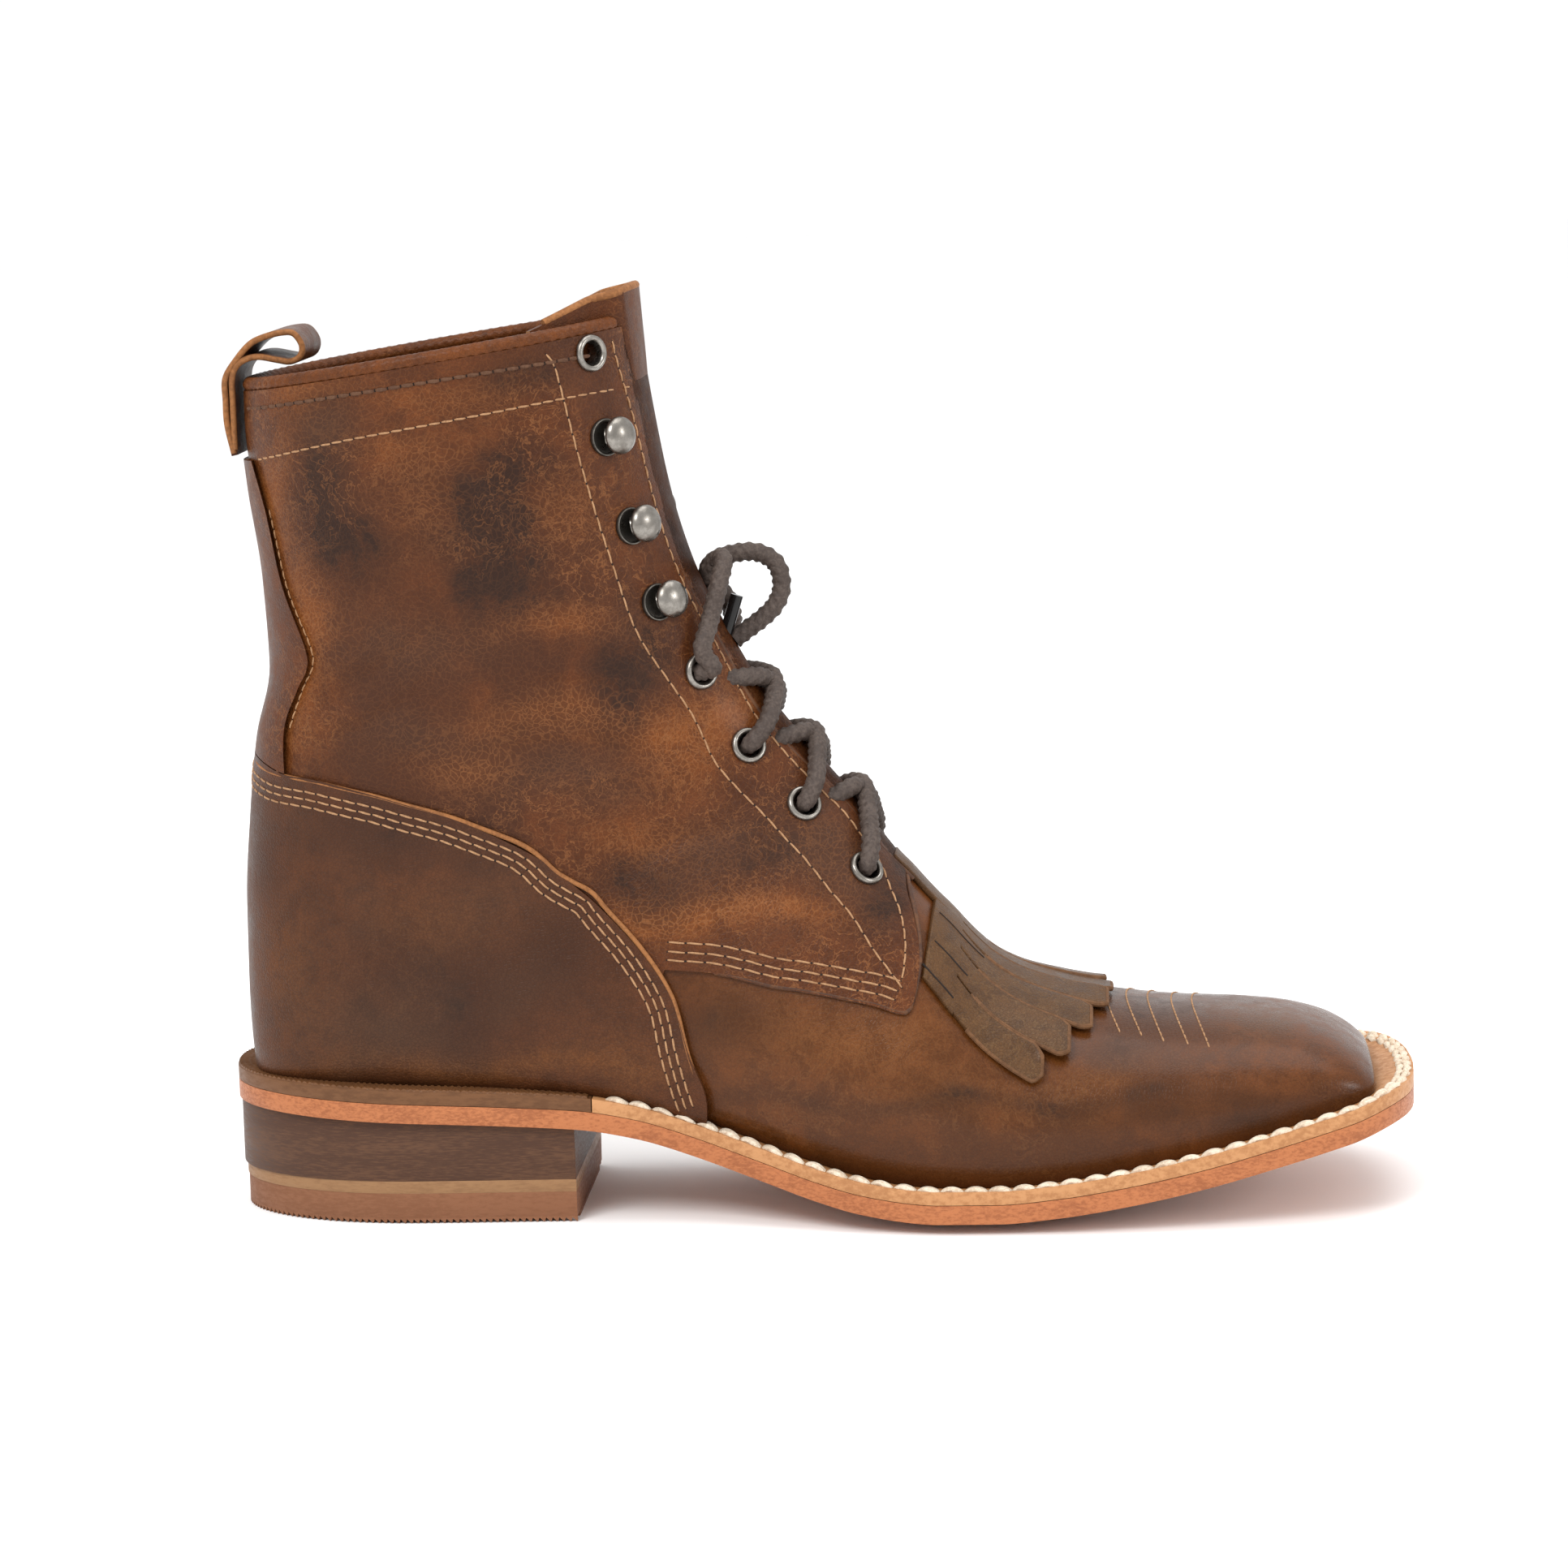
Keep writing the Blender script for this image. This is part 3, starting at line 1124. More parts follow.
def finish_piece(obj: bpy.types.Object, look: Look, slot: str, degrees: float = 40,
        replaces: Sequence[str] = ()) -> bpy.types.Object:
    """Gives a piece its look and its ride.

    Args:
        obj: The piece.
        look: Its finish.
        slot: The record's material slot.
        degrees: The angle over which an edge stays sharp.
        replaces: The nodes that it stands for.

    Returns:
        The piece.
    """
    Modeller.smooth(obj, degrees)
    obj.data.materials.clear()
    obj.data.materials.append(look.value.material())
    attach(obj, "root")
    if replaces:
        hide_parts(*replaces)
    return obj


class Upper:
    """Vamp, quarters, counter, back stay, tongue, kiltie, collar and pull loop."""

    def build(self) -> None:
        """Makes the upper's pieces."""
        Effects.grain()
        Effects.pull_up()
        self.walls()
        self.tongue()
        self.kiltie()
        self.collar()
        self.pull_loop()
        self.edges()

    def holes(self) -> bpy.types.Object:
        """Returns the eyelets' holes as one cutter."""
        made = []
        for at, share in EYELETS:
            for side in (-1, 1):
                place, normal, _ = Last.skin(np.array(at), Last.turn_at(at, share, side), QUARTER_STEP)
                path = place + normal * np.linspace(-6, 6, 5)[:, None]
                made.append(Modeller.tube("hole", path, EYELET_HOLE + 0.5, 24))
        return Modeller.join("holes", made)

    def walls(self) -> None:
        """Makes the wall of the vamp and the leather over it."""
        below = Forms.below_sole(0.15)
        holes = self.holes()
        vamp = Forms.last("vamp", 0.0)
        Modeller.cut(vamp, Forms.last("room", -LEATHER, 0.7, 110, 120))
        Modeller.cut(vamp, Forms.throat(0.0, 9.3))
        Modeller.cut(vamp, below, keep=True)
        Modeller.cut(vamp, holes, keep=True)
        paint(vamp, VAMP_PATCHES)
        finish_piece(vamp, Look.VAMP, "upper_leather", 30, ["upper"])
        quarters = Forms.last("quarters", QUARTER_STEP, relief=relief)
        Modeller.cut(quarters, Forms.last("inside", -0.4, 0.7, 110, 120))
        Modeller.cut(quarters, Forms.quarter(), "INTERSECT")
        Modeller.cut(quarters, Forms.counter(-1.0))
        Modeller.cut(quarters, Forms.throat(6.5, 8.8))
        Modeller.cut(quarters, below, keep=True)
        Modeller.cut(quarters, holes)
        paint(quarters, PATCHES)
        finish_piece(quarters, Look.UPPER, "upper_leather", 35)
        counter = Forms.last("counter_cover", QUARTER_STEP + OVERLAY, relief=lambda at, turn: 0.25 * relief(at, turn))
        Modeller.cut(counter, Forms.last("inside", FIT, 0.7, 110, 120))
        Modeller.cut(counter, Forms.counter(0.0), "INTERSECT")
        Modeller.cut(counter, below, keep=True)
        paint(counter, COUNTER_PATCHES)
        finish_piece(counter, Look.COUNTER, "upper_leather", 35, ["counter"])
        stay = Forms.last("stay_cover", QUARTER_STEP + FIT + 1.2)
        Modeller.cut(stay, Forms.last("inside", QUARTER_STEP - 0.4, 0.7, 110, 120))
        line = Last.side_line(STAY_LINE)
        middle = resample(line[1:-1], 1.5)
        Modeller.cut(stay, Modeller.prism("stay_cut", np.concatenate([line[:1], middle, line[-1:]])), "INTERSECT")
        Modeller.cut(stay, Forms.counter(0.3))
        finish_piece(stay, Look.UPPER, "upper_leather", 35, ["back_stay"])
        Modeller.remove(below)

    def tongue(self) -> None:
        """Makes the tongue, bulging forward between the facings."""
        depth = -LEATHER - 1.5
        wings = [(9, 0.15), (11, 0.26), (15, 0.3), (20, 0.34), (24.2, 0.36)]
        rise = [(10, 0), (11, 0.9), (17, 1.4), (20, 2.2), (22, 4.2), (24.2, 6.0)]
        w = np.linspace(-1, 1, 61)[None, :]
        base = np.linspace(9, 23.62, 120)[:, None]
        at = base - 0.2 * np.abs(w) ** 3 * smoothstep(base, 22.6, 23.62)
        wide = column(wings, 1, base) * BALL_WIDTH
        y = w * wide
        gap = throat_half(base)
        bulge = column(rise, 1, base) * (1 - smoothstep(np.abs(y) - gap, -4.0, 1.0))
        turn = Last.front_turn(at, np.where(np.abs(y) < 1e-6, 1e-6, y), depth)
        fold = 0.12 * np.sin(base * 5) * np.exp(-((np.abs(w) - 0.35) ** 2) * 20)
        outer = Last.point(at, turn, depth + bulge + fold)
        inner = Last.point(at, turn, depth + bulge + fold - 2.0)
        cover = Modeller.grid("tongue_cover", np.concatenate([outer, inner[:, ::-1]], 1), wrap=True, caps=True)
        finish_piece(cover, Look.TONGUE, "tongue_leather", 50, ["tongue"])
        cover.data.materials.append(Look.SUEDE.value.material())
        columns = 2 * w.size
        for face in cover.data.polygons:
            if face.index < (len(base) - 1) * columns and face.index % columns >= w.size:
                face.material_index = 1
        top = (outer[-1] + inner[-1]) / 2
        edge = Modeller.tube("tongue_edge", resample(top[2:-2], 1.2) + np.array([0, 0, 0.15]), 1.12, 10)
        finish_piece(edge, Look.RAW_EDGE, "tongue_leather")

    def kiltie(self) -> None:
        """Makes the fringe: a root and separate strips with lifted, curled tips."""
        edges = [
            (-0.385, -0.468, 7.42), (-0.29, -0.405, 7.15), (-0.185, -0.312, 6.9), (-0.095, -0.195, 6.7),
            (-0.035, -0.068, 6.64), (0.035, 0.068, 6.72), (0.095, 0.195, 6.86), (0.185, 0.312, 7.12),
            (0.29, 0.405, 7.45), (0.385, 0.468, 7.45),
        ]
        slits = 8.75
        thick = 1.4
        ends = [edges[0][2], *((a[2] + b[2]) / 2 for a, b in zip(edges, edges[1:-1])), edges[8][2]]

        def edge(k: int, at: Array) -> Array:
            way = np.clip((slits - at) / (slits - ends[k]), -0.4, 1.2)
            return (edges[k][0] + (edges[k][1] - edges[k][0]) * way) * BALL_WIDTH

        at = np.linspace(9.2, 8.6, 16)[:, None]
        lines = np.concatenate([edge(k, at) for k in range(10)], 1)
        y = np.stack([np.interp(np.linspace(0, 9, 91), np.arange(10), row) for row in lines])
        y = np.where(np.abs(y) < 1e-6, 1e-6, y)
        pieces = [self.sheet("kiltie_cover", Last.point(at, Last.front_turn(at, y, 1.5), 0.35 + thick), thick)]
        beads = []
        rng = np.random.default_rng(7)
        for k in range(9):
            end = edges[k][2]
            t = np.linspace(0, 1, 44)[:, None]
            at = 8.72 + (end - 8.72) * t
            w = np.linspace(0, 1, 11)[None, :]
            nip = 1.5 * np.clip((t - 0.94) / 0.06, 0, 1)
            low, high = edge(k, at) + 0.3 + nip, edge(k + 1, at) - 0.3 - nip
            y = low + (high - low) * w
            y = np.where(np.abs(y) < 1e-6, 1e-6, y)
            lean, curl, cup = rng.uniform(0.5, 1.6), rng.uniform(-0.3, 0.4), rng.uniform(-0.2, 0.3)
            wave = 0.3 * np.sin(t * rng.uniform(4, 8) + rng.uniform(0, 6))
            lift = (lean + curl * (w - 0.5) * 2) * t**2 + cup * (2 * w - 1) ** 2 * t + wave * t * (1 - t) * 2
            grown = 0.35 + thick + np.maximum(0, lift)
            turn = Last.front_turn(at, y, 1.5)
            pieces.append(self.sheet("strip", Last.point(at, turn, grown), thick))
            core = Last.point(at, turn, grown - thick * 0.5)
            rim = np.concatenate([core[12:, 0], core[-1, 1:-1], core[12:, -1][::-1]])
            beads.append(Modeller.tube("bead", rim, thick * 0.5, 8))
        at = np.linspace(8.9, 10.3, 16)[:, None]
        y = np.linspace(-6.2, 6.2, 12)[None, :]
        pieces.append(self.sheet("stem", Last.point(at, Last.front_turn(at, y, 1.5), 0.4 + thick), thick))
        cover = Modeller.join("kiltie_cover", pieces)
        finish_piece(cover, Look.KILTIE, "kiltie_leather", 50, ["kiltie"])
        finish_piece(Modeller.join("kiltie_edges", beads), Look.FRINGE_EDGE, "kiltie_leather")
        slots = []
        for x0, z0, x1, z1, out in ((28.3, 66.8, 37.6, 57.7, -23.0), (29.3, 72.5, 42.4, 60.5, -12.1),
                (24.5, 60.5, 32.5, 51.5, -30.0)):
            for side in (-1, 1):
                line = np.linspace((x0, out * -side, z0), (x1, out * 1.1 * -side, z1), 14)
                slots.append(self.drawn(line, 0.4 + thick - 0.16))
        slit = Modeller.join("kiltie_slits", [Modeller.tube("slit", line, 0.3, 6) for line in slots])
        finish_piece(slit, Look.HOLE, "kiltie_leather")

    @staticmethod
    def drawn(line: Array, offset: float) -> Array:
        """Moves a line near the vamp's front onto the last at an offset, keeping its y and its height.

        Args:
            line: the line to move.
            offset: distance off the skin.

        Returns:
            The moved line.
        """
        at = np.linspace(6.0, 10.5, 300)
        out = []
        for x, y, z in line:
            place = Last.point(at, Last.front_turn(at, np.full(len(at), y), offset), offset)
            out.append(place[np.argmin((place[:, 0] - x) ** 2 + (place[:, 2] - z) ** 2)])
        return resample(np.array(out)[::3], 0.6)

    @staticmethod
    def sheet(name: str, points: Array, thick: float) -> bpy.types.Object:
        """Makes a sheet of leather below a surface, with rounded edges.

        Args:
            name: the piece's name.
            points: grid of points.
            thick: thickness.

        Returns:
            The sheet.
        """
        made = Modeller.grid(name, points)
        middle = Vector(np.mean(points.reshape(-1, 3), 0)) * MM
        face = made.data.polygons[len(made.data.polygons) // 2]
        if face.normal.dot(middle - Vector((-0.03, 0, 0.02))) < 0:
            Modeller.flip(made)
        Modeller.modifier(made, "SOLIDIFY", thickness=thick * MM, offset=-1.0)
        Modeller.modifier(made, "BEVEL", width=0.35 * MM, segments=2, limit_method="ANGLE",
                angle_limit=math.radians(50))
        return made

    def collar(self) -> None:
        """Makes the rolled and laced binding of the collar."""
        gap = math.pi * 0.13
        turn = np.linspace(-math.pi + gap, math.pi - gap, 700)
        middle = (QUARTER_STEP - LEATHER) / 2
        place = Last.point(COLLAR_AT, turn, middle)
        ahead = Last.point(COLLAR_AT + 0.1, turn, middle) - place
        ahead[:, 1] = 0
        ahead /= np.linalg.norm(ahead, axis=1, keepdims=True)
        path = resample((place + ahead * 1.2)[::7], 0.35)

        def lay(s: Array, turns: Array) -> Array:
            return 1 + 0.1 * np.abs(np.sin(turns * 1.5 + s * 1.15)) + 0.04 * np.sin(turns * 3 - s * 2.3)

        made = Modeller.tube("collar_roll", path, 1.75, 20, lobes=lay)
        finish_piece(made, Look.BINDING, "binding_leather", 60, ["collar_binding"])

    def pull_loop(self) -> None:
        """Makes the pull loop as a folded strap with raw edges."""
        foot = np.array([-0.494 * LAST_LENGTH, 1.003 * UPPER_HEIGHT])
        rows = [
            (-0.035, -0.03), (-0.085, 0.22), (-0.09, 0.42), (-0.085, 0.6), (0.012, 0.752), (0.135,
                    0.882), (0.27, 0.94),
            (0.405, 0.967), (0.49, 0.958), (0.548, 0.885), (0.558, 0.817), (0.527, 0.758), (0.45,
                    0.728), (0.35, 0.744),
            (0.2, 0.772), (0.09, 0.755), (0.01, 0.7), (-0.03, 0.6), (-0.032, 0.42), (-0.032, 0.22), (-0.03, 0.0),
        ]
        line = resample(foot + np.array(rows) * 31.0, 0.6)
        way = np.gradient(line, axis=0)
        way /= np.linalg.norm(way, axis=1, keepdims=True)
        side = np.stack([-way[:, 1], way[:, 0]], 1)
        across = np.linspace(-12.5, 12.5, 26)
        half = 0.78
        rings = []
        for sign in (1, -1):
            edge = line + side * half * sign
            rings.append(np.stack([np.stack([edge[:, 0], np.full(len(edge), y), edge[:, 1]],
                    1) for y in across[::sign]], 1))
        made = Modeller.grid("pull_loop_strap", np.concatenate(rings, 1), wrap=True, caps=True)
        finish_piece(made, Look.UPPER, "upper_leather", 50, ["pull_loop"])
        beads = []
        for y in (-12.5, 12.5):
            path = np.stack([line[:, 0], np.full(len(line), y), line[:, 1]], 1)
            beads.append(Modeller.tube("bead", path[1:-1], 0.8, 10))
        finish_piece(Modeller.join("pull_loop_edges", beads), Look.RAW_EDGE, "upper_leather")

    def edges(self) -> None:
        """Rounds the cut edges of the overlays."""
        plans = (
            ("counter_edge", Look.RAW_EDGE, COUNTER_LINE[1:-1], QUARTER_STEP + OVERLAY - 0.62, 0.64),
            ("strap_edge", Look.EDGE, QUARTER_LINE[1:-1], QUARTER_STEP - 0.65, 0.68),
            ("stay_edge", Look.EDGE, STAY_LINE[1:-1], QUARTER_STEP + 0.75, 0.75),
        )
        for name, look, rows, offset, radius in plans:
            made = []
            for side in (-1, 1):
                line = resample(np.array(rows), 0.04)
                at, share = line[:, 0], np.clip(line[:, 1], 0.0, 0.985)
                path = Last.point(at, Last.turn_at(at, share, side), offset)
                keep = path[:, 2] > Sole.top(path[:, 0], path[:, 1]) + 0.4
                made.append(Modeller.tube("edge", resample(path[keep][::4], 1.0), radius, 10))
            finish_piece(Modeller.join(name, made), look, "upper_leather")
        made = []
        at = np.linspace(9.75, 23.2, 260)
        for side in (-1, 1):
            half = np.maximum(6.5, throat_half(at)) + 0.25
            path = Last.point(at, Last.front_turn(at, side * half, QUARTER_STEP - 0.7), QUARTER_STEP - 0.7)
            made.append(Modeller.tube("edge", resample(path[::5], 1.0), 0.72, 10))
        finish_piece(Modeller.join("facing_edges", made), Look.EDGE, "upper_leather")


class Bottom:
    """Outsole, welt, rand, insole and heel."""

    @staticmethod
    def heel_outline(inset: float, start: float, until: float, step: float) -> tuple[Array, Array]:
        """Returns the outline round the heel from the outer to the inner side, and its outward normals.

        Args:
            inset: distance inside the sole.
            start: rear end.
            until: front end.
            step: spacing of the points.

        Returns:
            The points and their normals.
        """
        t = np.linspace(0, 1, 1200)
        x = (start + 0.02) + (BOOT_LENGTH * 0.6) * t**2
        share = Sole.closing(x, start, BOOT_LENGTH)
        outer, inner = (np.maximum(0.5,
                (column(SOLE_OUTLINE, k, x / BOOT_LENGTH) * SOLE_WIDTH - inset) * share) for k in (1, 2))
        keep = x <= until
        x, outer, inner = x[keep], outer[keep], inner[keep]
        line = np.concatenate([np.stack([x, -outer], 1)[::-1], np.stack([x, inner], 1)])
        length = np.concatenate([[0], np.cumsum(np.linalg.norm(np.diff(line, axis=0), axis=1))])
        at = np.arange(0, length[-1], step)
        line = np.stack([np.interp(at, length, line[:, k]) for k in (0, 1)], 1)
        way = np.gradient(line, axis=0)
        way /= np.linalg.norm(way, axis=1, keepdims=True)
        return line, np.stack([-way[:, 1], way[:, 0]], 1) * np.sign(way[:1, 0]) * 1.0

    def ridges(self) -> None:
        """Makes the slanting ribs on the rand's top, round the heel."""
        line, normal = self.heel_outline(0.0, HEEL_BACK, BREAST + WELT_OVER_BREAST - 1.0, 0.26)
        if (normal[len(normal) // 2] @ np.array([-1.0, 0.0])) < 0:
            normal = -normal
        s = np.arange(len(line)) * 0.26
        rows = []
        for deep, sunk in ((0.1, 1), (0.25, 0), (1.5, 0), (3.0, 0), (4.5, 0), (5.6, 0), (5.7, 1)):
            place = line - normal * deep
            rib = np.abs(np.sin(math.pi * (s / 1.7 + deep * 0.35))) ** 0.8
            z = Sole.top(place[:, 0], place[:, 1]) + (-0.5 if sunk else 0.02 + 0.65 * rib)
            rows.append(np.stack([place[:, 0], place[:, 1], z], 1))
        made = Modeller.grid("rand_ribs", np.stack(rows, 1))
        if sum(face.normal.z for face in made.data.polygons) < 0:
            Modeller.flip(made)
        finish_piece(made, Look.RAND, "rand_leather", 60)

    def teeth(self, inset: float, start: float) -> None:
        """Makes the saw teeth under the edge of the rubber lift.

        Args:
            inset: distance inside the sole.
            start: rear end.
        """
        pitch = 1.7
        line, normal = self.heel_outline(inset, start, BREAST, pitch / 4)
        if (normal[len(normal) // 2] @ np.array([-1.0, 0.0])) < 0:
            normal = -normal
        saw = (np.arange(len(line)) % 4) / 4 * 1.5
        inner = line - normal * 1.1
        ring = [
            np.column_stack([line, np.full(len(line), 1.5)]),
            np.column_stack([line, saw]),
            np.column_stack([inner, saw]),
            np.column_stack([inner, np.full(len(line), 1.5)]),
        ]
        made = Modeller.grid("lift_teeth", np.stack(ring, 1), wrap=True, caps=True)
        finish_piece(made, Look.RUBBER, "top_lift_rubber", 20)

    def build(self) -> None:
        """Makes the sole's pieces."""
        self.layer("outsole_cover", Look.OUTSOLE, "sole_leather", ["outsole"],
                   lambda x, y: Sole.underside(x) + Sole.camber(x,
                           y), lambda x, y: Sole.underside(x) + Sole.camber(x, y) + OUTSOLE + 0.2)
        seat = lambda x, y: Sole.underside(x) + Sole.camber(x, y) + OUTSOLE + SEAT_GAP - 0.1
        self.rim("welt_cover", Look.WELT, "welt_leather", ["welt"], BREAST + WELT_OVER_BREAST, FAR, seat)
        self.rim("rand_cover", Look.RAND, "rand_leather", ["heel_rand"], -FAR, BREAST + WELT_OVER_BREAST - 0.3, seat)
        insole = self.solid("insole_cover", seat, lambda x, y: seat(x, y) + INSOLE, 0, 0, HEEL_BACK, BOOT_LENGTH / 2)
        Modeller.cut(insole, Forms.last("inside", -LEATHER - 0.2), "INTERSECT")
        finish_piece(insole, Look.INSOLE, "insole_leather", 50, ["insole"])
        inset = SOLE_WIDTH * 0.347 - HEEL_WIDTH / 2
        flat = lambda z: lambda x, y: z + 0 * (x + y)
        layers = [
            ("stack_cover", Look.STACK, "stack_board", "heel_stack", flat(TOP_LIFT + HEEL_LAYER), lambda x,
                    y: Sole.underside(x) - 0.05 + 0 * y, 0.6),
            ("heel_layer_cover", Look.LAYER, "heel_layer_leather", "heel_layer", flat(TOP_LIFT),
                    flat(TOP_LIFT + HEEL_LAYER - 0.02), None),
            ("top_lift_cover", Look.RUBBER, "top_lift_rubber", "top_lift", flat(1.4), flat(TOP_LIFT - 0.02), None),
        ]
        self.ridges()
        rear = HEEL_TAPER * (HEEL_LIFT - TOP_LIFT) / HEEL_LIFT
        self.teeth(inset + HEEL_TAPER, HEEL_BACK + rear)
        tread = self.solid("tread", flat(0), flat(1.2), inset + HEEL_TAPER + 6, 0, HEEL_BACK + rear + 6,
                BREAST + 0.17 * BOOT_LENGTH)
        box = np.array([[-FAR, -FAR], [BREAST, -FAR], [BREAST, FAR], [-FAR, FAR]])
        Modeller.cut(tread, Modeller.prism("breast", box), "INTERSECT")
        finish_piece(tread, Look.RUBBER, "top_lift_rubber", 30)
        for name, look, slot, node, bottom, top, top_inset in layers:
            low = {"heel_stack": TOP_LIFT + HEEL_LAYER, "heel_layer": TOP_LIFT, "top_lift": 0.0}[node]
            high = {"heel_stack": HEEL_LIFT, "heel_layer": TOP_LIFT + HEEL_LAYER, "top_lift": TOP_LIFT}[node]
            taper = lambda z: HEEL_TAPER * (HEEL_LIFT - z) / HEEL_LIFT
            above = top_inset if top_inset is not None else taper(high)
            made = self.solid(name, bottom, top, inset + above, taper(low) - above, HEEL_BACK + above,
                    BREAST + 0.17 * BOOT_LENGTH)
            box = np.array([[-FAR, -FAR], [BREAST, -FAR], [BREAST, FAR], [-FAR, FAR]])
            Modeller.cut(made, Modeller.prism("breast", box), "INTERSECT")
            Modeller.modifier(made, "BEVEL", width=0.3 * MM, segments=2, limit_method="ANGLE",
                    angle_limit=math.radians(50))
            finish_piece(made, look, slot, 50, [node])

    def solid(self, name: str, bottom: Callable, top: Callable, inset: float, taper: float, start: float,
            end: float) -> bpy.types.Object:
        """Makes a layer of the sole between two heights.

        Args:
            name: The object's name.
            bottom: Height of its underside from x and y.
            top: Height of its top.
            inset: How far it is set in from the outline.
            taper: How much further its underside is set in.
            start: Where it starts along X.
            end: Where it ends along X.

        Returns:
            The layer.
        """
        t = np.linspace(0, 1, 150)
        x = (start + 0.02) + (end - start - 0.04) * (0.25 * t + 0.75 * (1 - np.cos(math.pi * t)) / 2)
        share = Sole.closing(x, start, end)
        at = x / BOOT_LENGTH
        w = np.sin(np.linspace(-1, 1, 33) * math.pi / 2)[None, :]
        halves = [np.maximum(0.5, (column(SOLE_OUTLINE, k, at) * SOLE_WIDTH - inset) * share) for k in (1, 2)]

        def face(slim: Array) -> Array:
            outer, inner = (np.maximum(0.4, h - slim)[:, None] for h in halves)
            return np.where(w < 0, w * outer, w * inner)

        above, below = face(0 * share), face(taper * share)
        xs = x[:, None] + 0 * w
        upper = np.stack([xs, above, top(xs, above)], -1)
        lower = np.stack([xs, below, bottom(xs, below)], -1)[:, ::-1]
        return Modeller.grid(name, np.concatenate([upper, lower], 1), wrap=True, caps=True)

    def layer(self, name: str, look: Look, slot: str, nodes: Sequence[str], bottom: Callable, top: Callable) -> None:
        """Makes a whole layer with softened edges.

        Args:
            name: the piece's name.
            look: finish.
            slot: material slot.
            nodes: nodes that it replaces.
            bottom: height of the underside.
            top: height of the top.
        """
        made = self.solid(name, bottom, top, 0, 0, HEEL_BACK, BOOT_LENGTH / 2)
        Modeller.modifier(made, "BEVEL", width=0.6 * MM, segments=3, limit_method="ANGLE",
                angle_limit=math.radians(50))
        finish_piece(made, look, slot, 50, nodes)

    def rim(self, name: str, look: Look, slot: str, nodes: Sequence[str], start: float, end: float,
            seat: Callable) -> None:
        """Makes the welt or the rand round the last.

        Args:
            name: the piece's name.
            look: finish.
            slot: material slot.
            nodes: nodes that it replaces.
            start: rear end.
            end: front end.
            seat: height of the underside.
        """
        made = self.solid(name, seat, lambda x, y: Sole.top(x, y), 0, 0, HEEL_BACK, BOOT_LENGTH / 2)
        Modeller.modifier(made, "BEVEL", width=0.5 * MM, segments=2, limit_method="ANGLE",
                angle_limit=math.radians(50))
        Modeller.cut(made, Forms.last("inside", -LEATHER, 0, 150, 160))
        box = np.array([[start, -FAR], [end, -FAR], [end, FAR], [start, FAR]])
        Modeller.cut(made, Modeller.prism("ends", box), "INTERSECT")
        finish_piece(made, look, slot, 50, nodes)


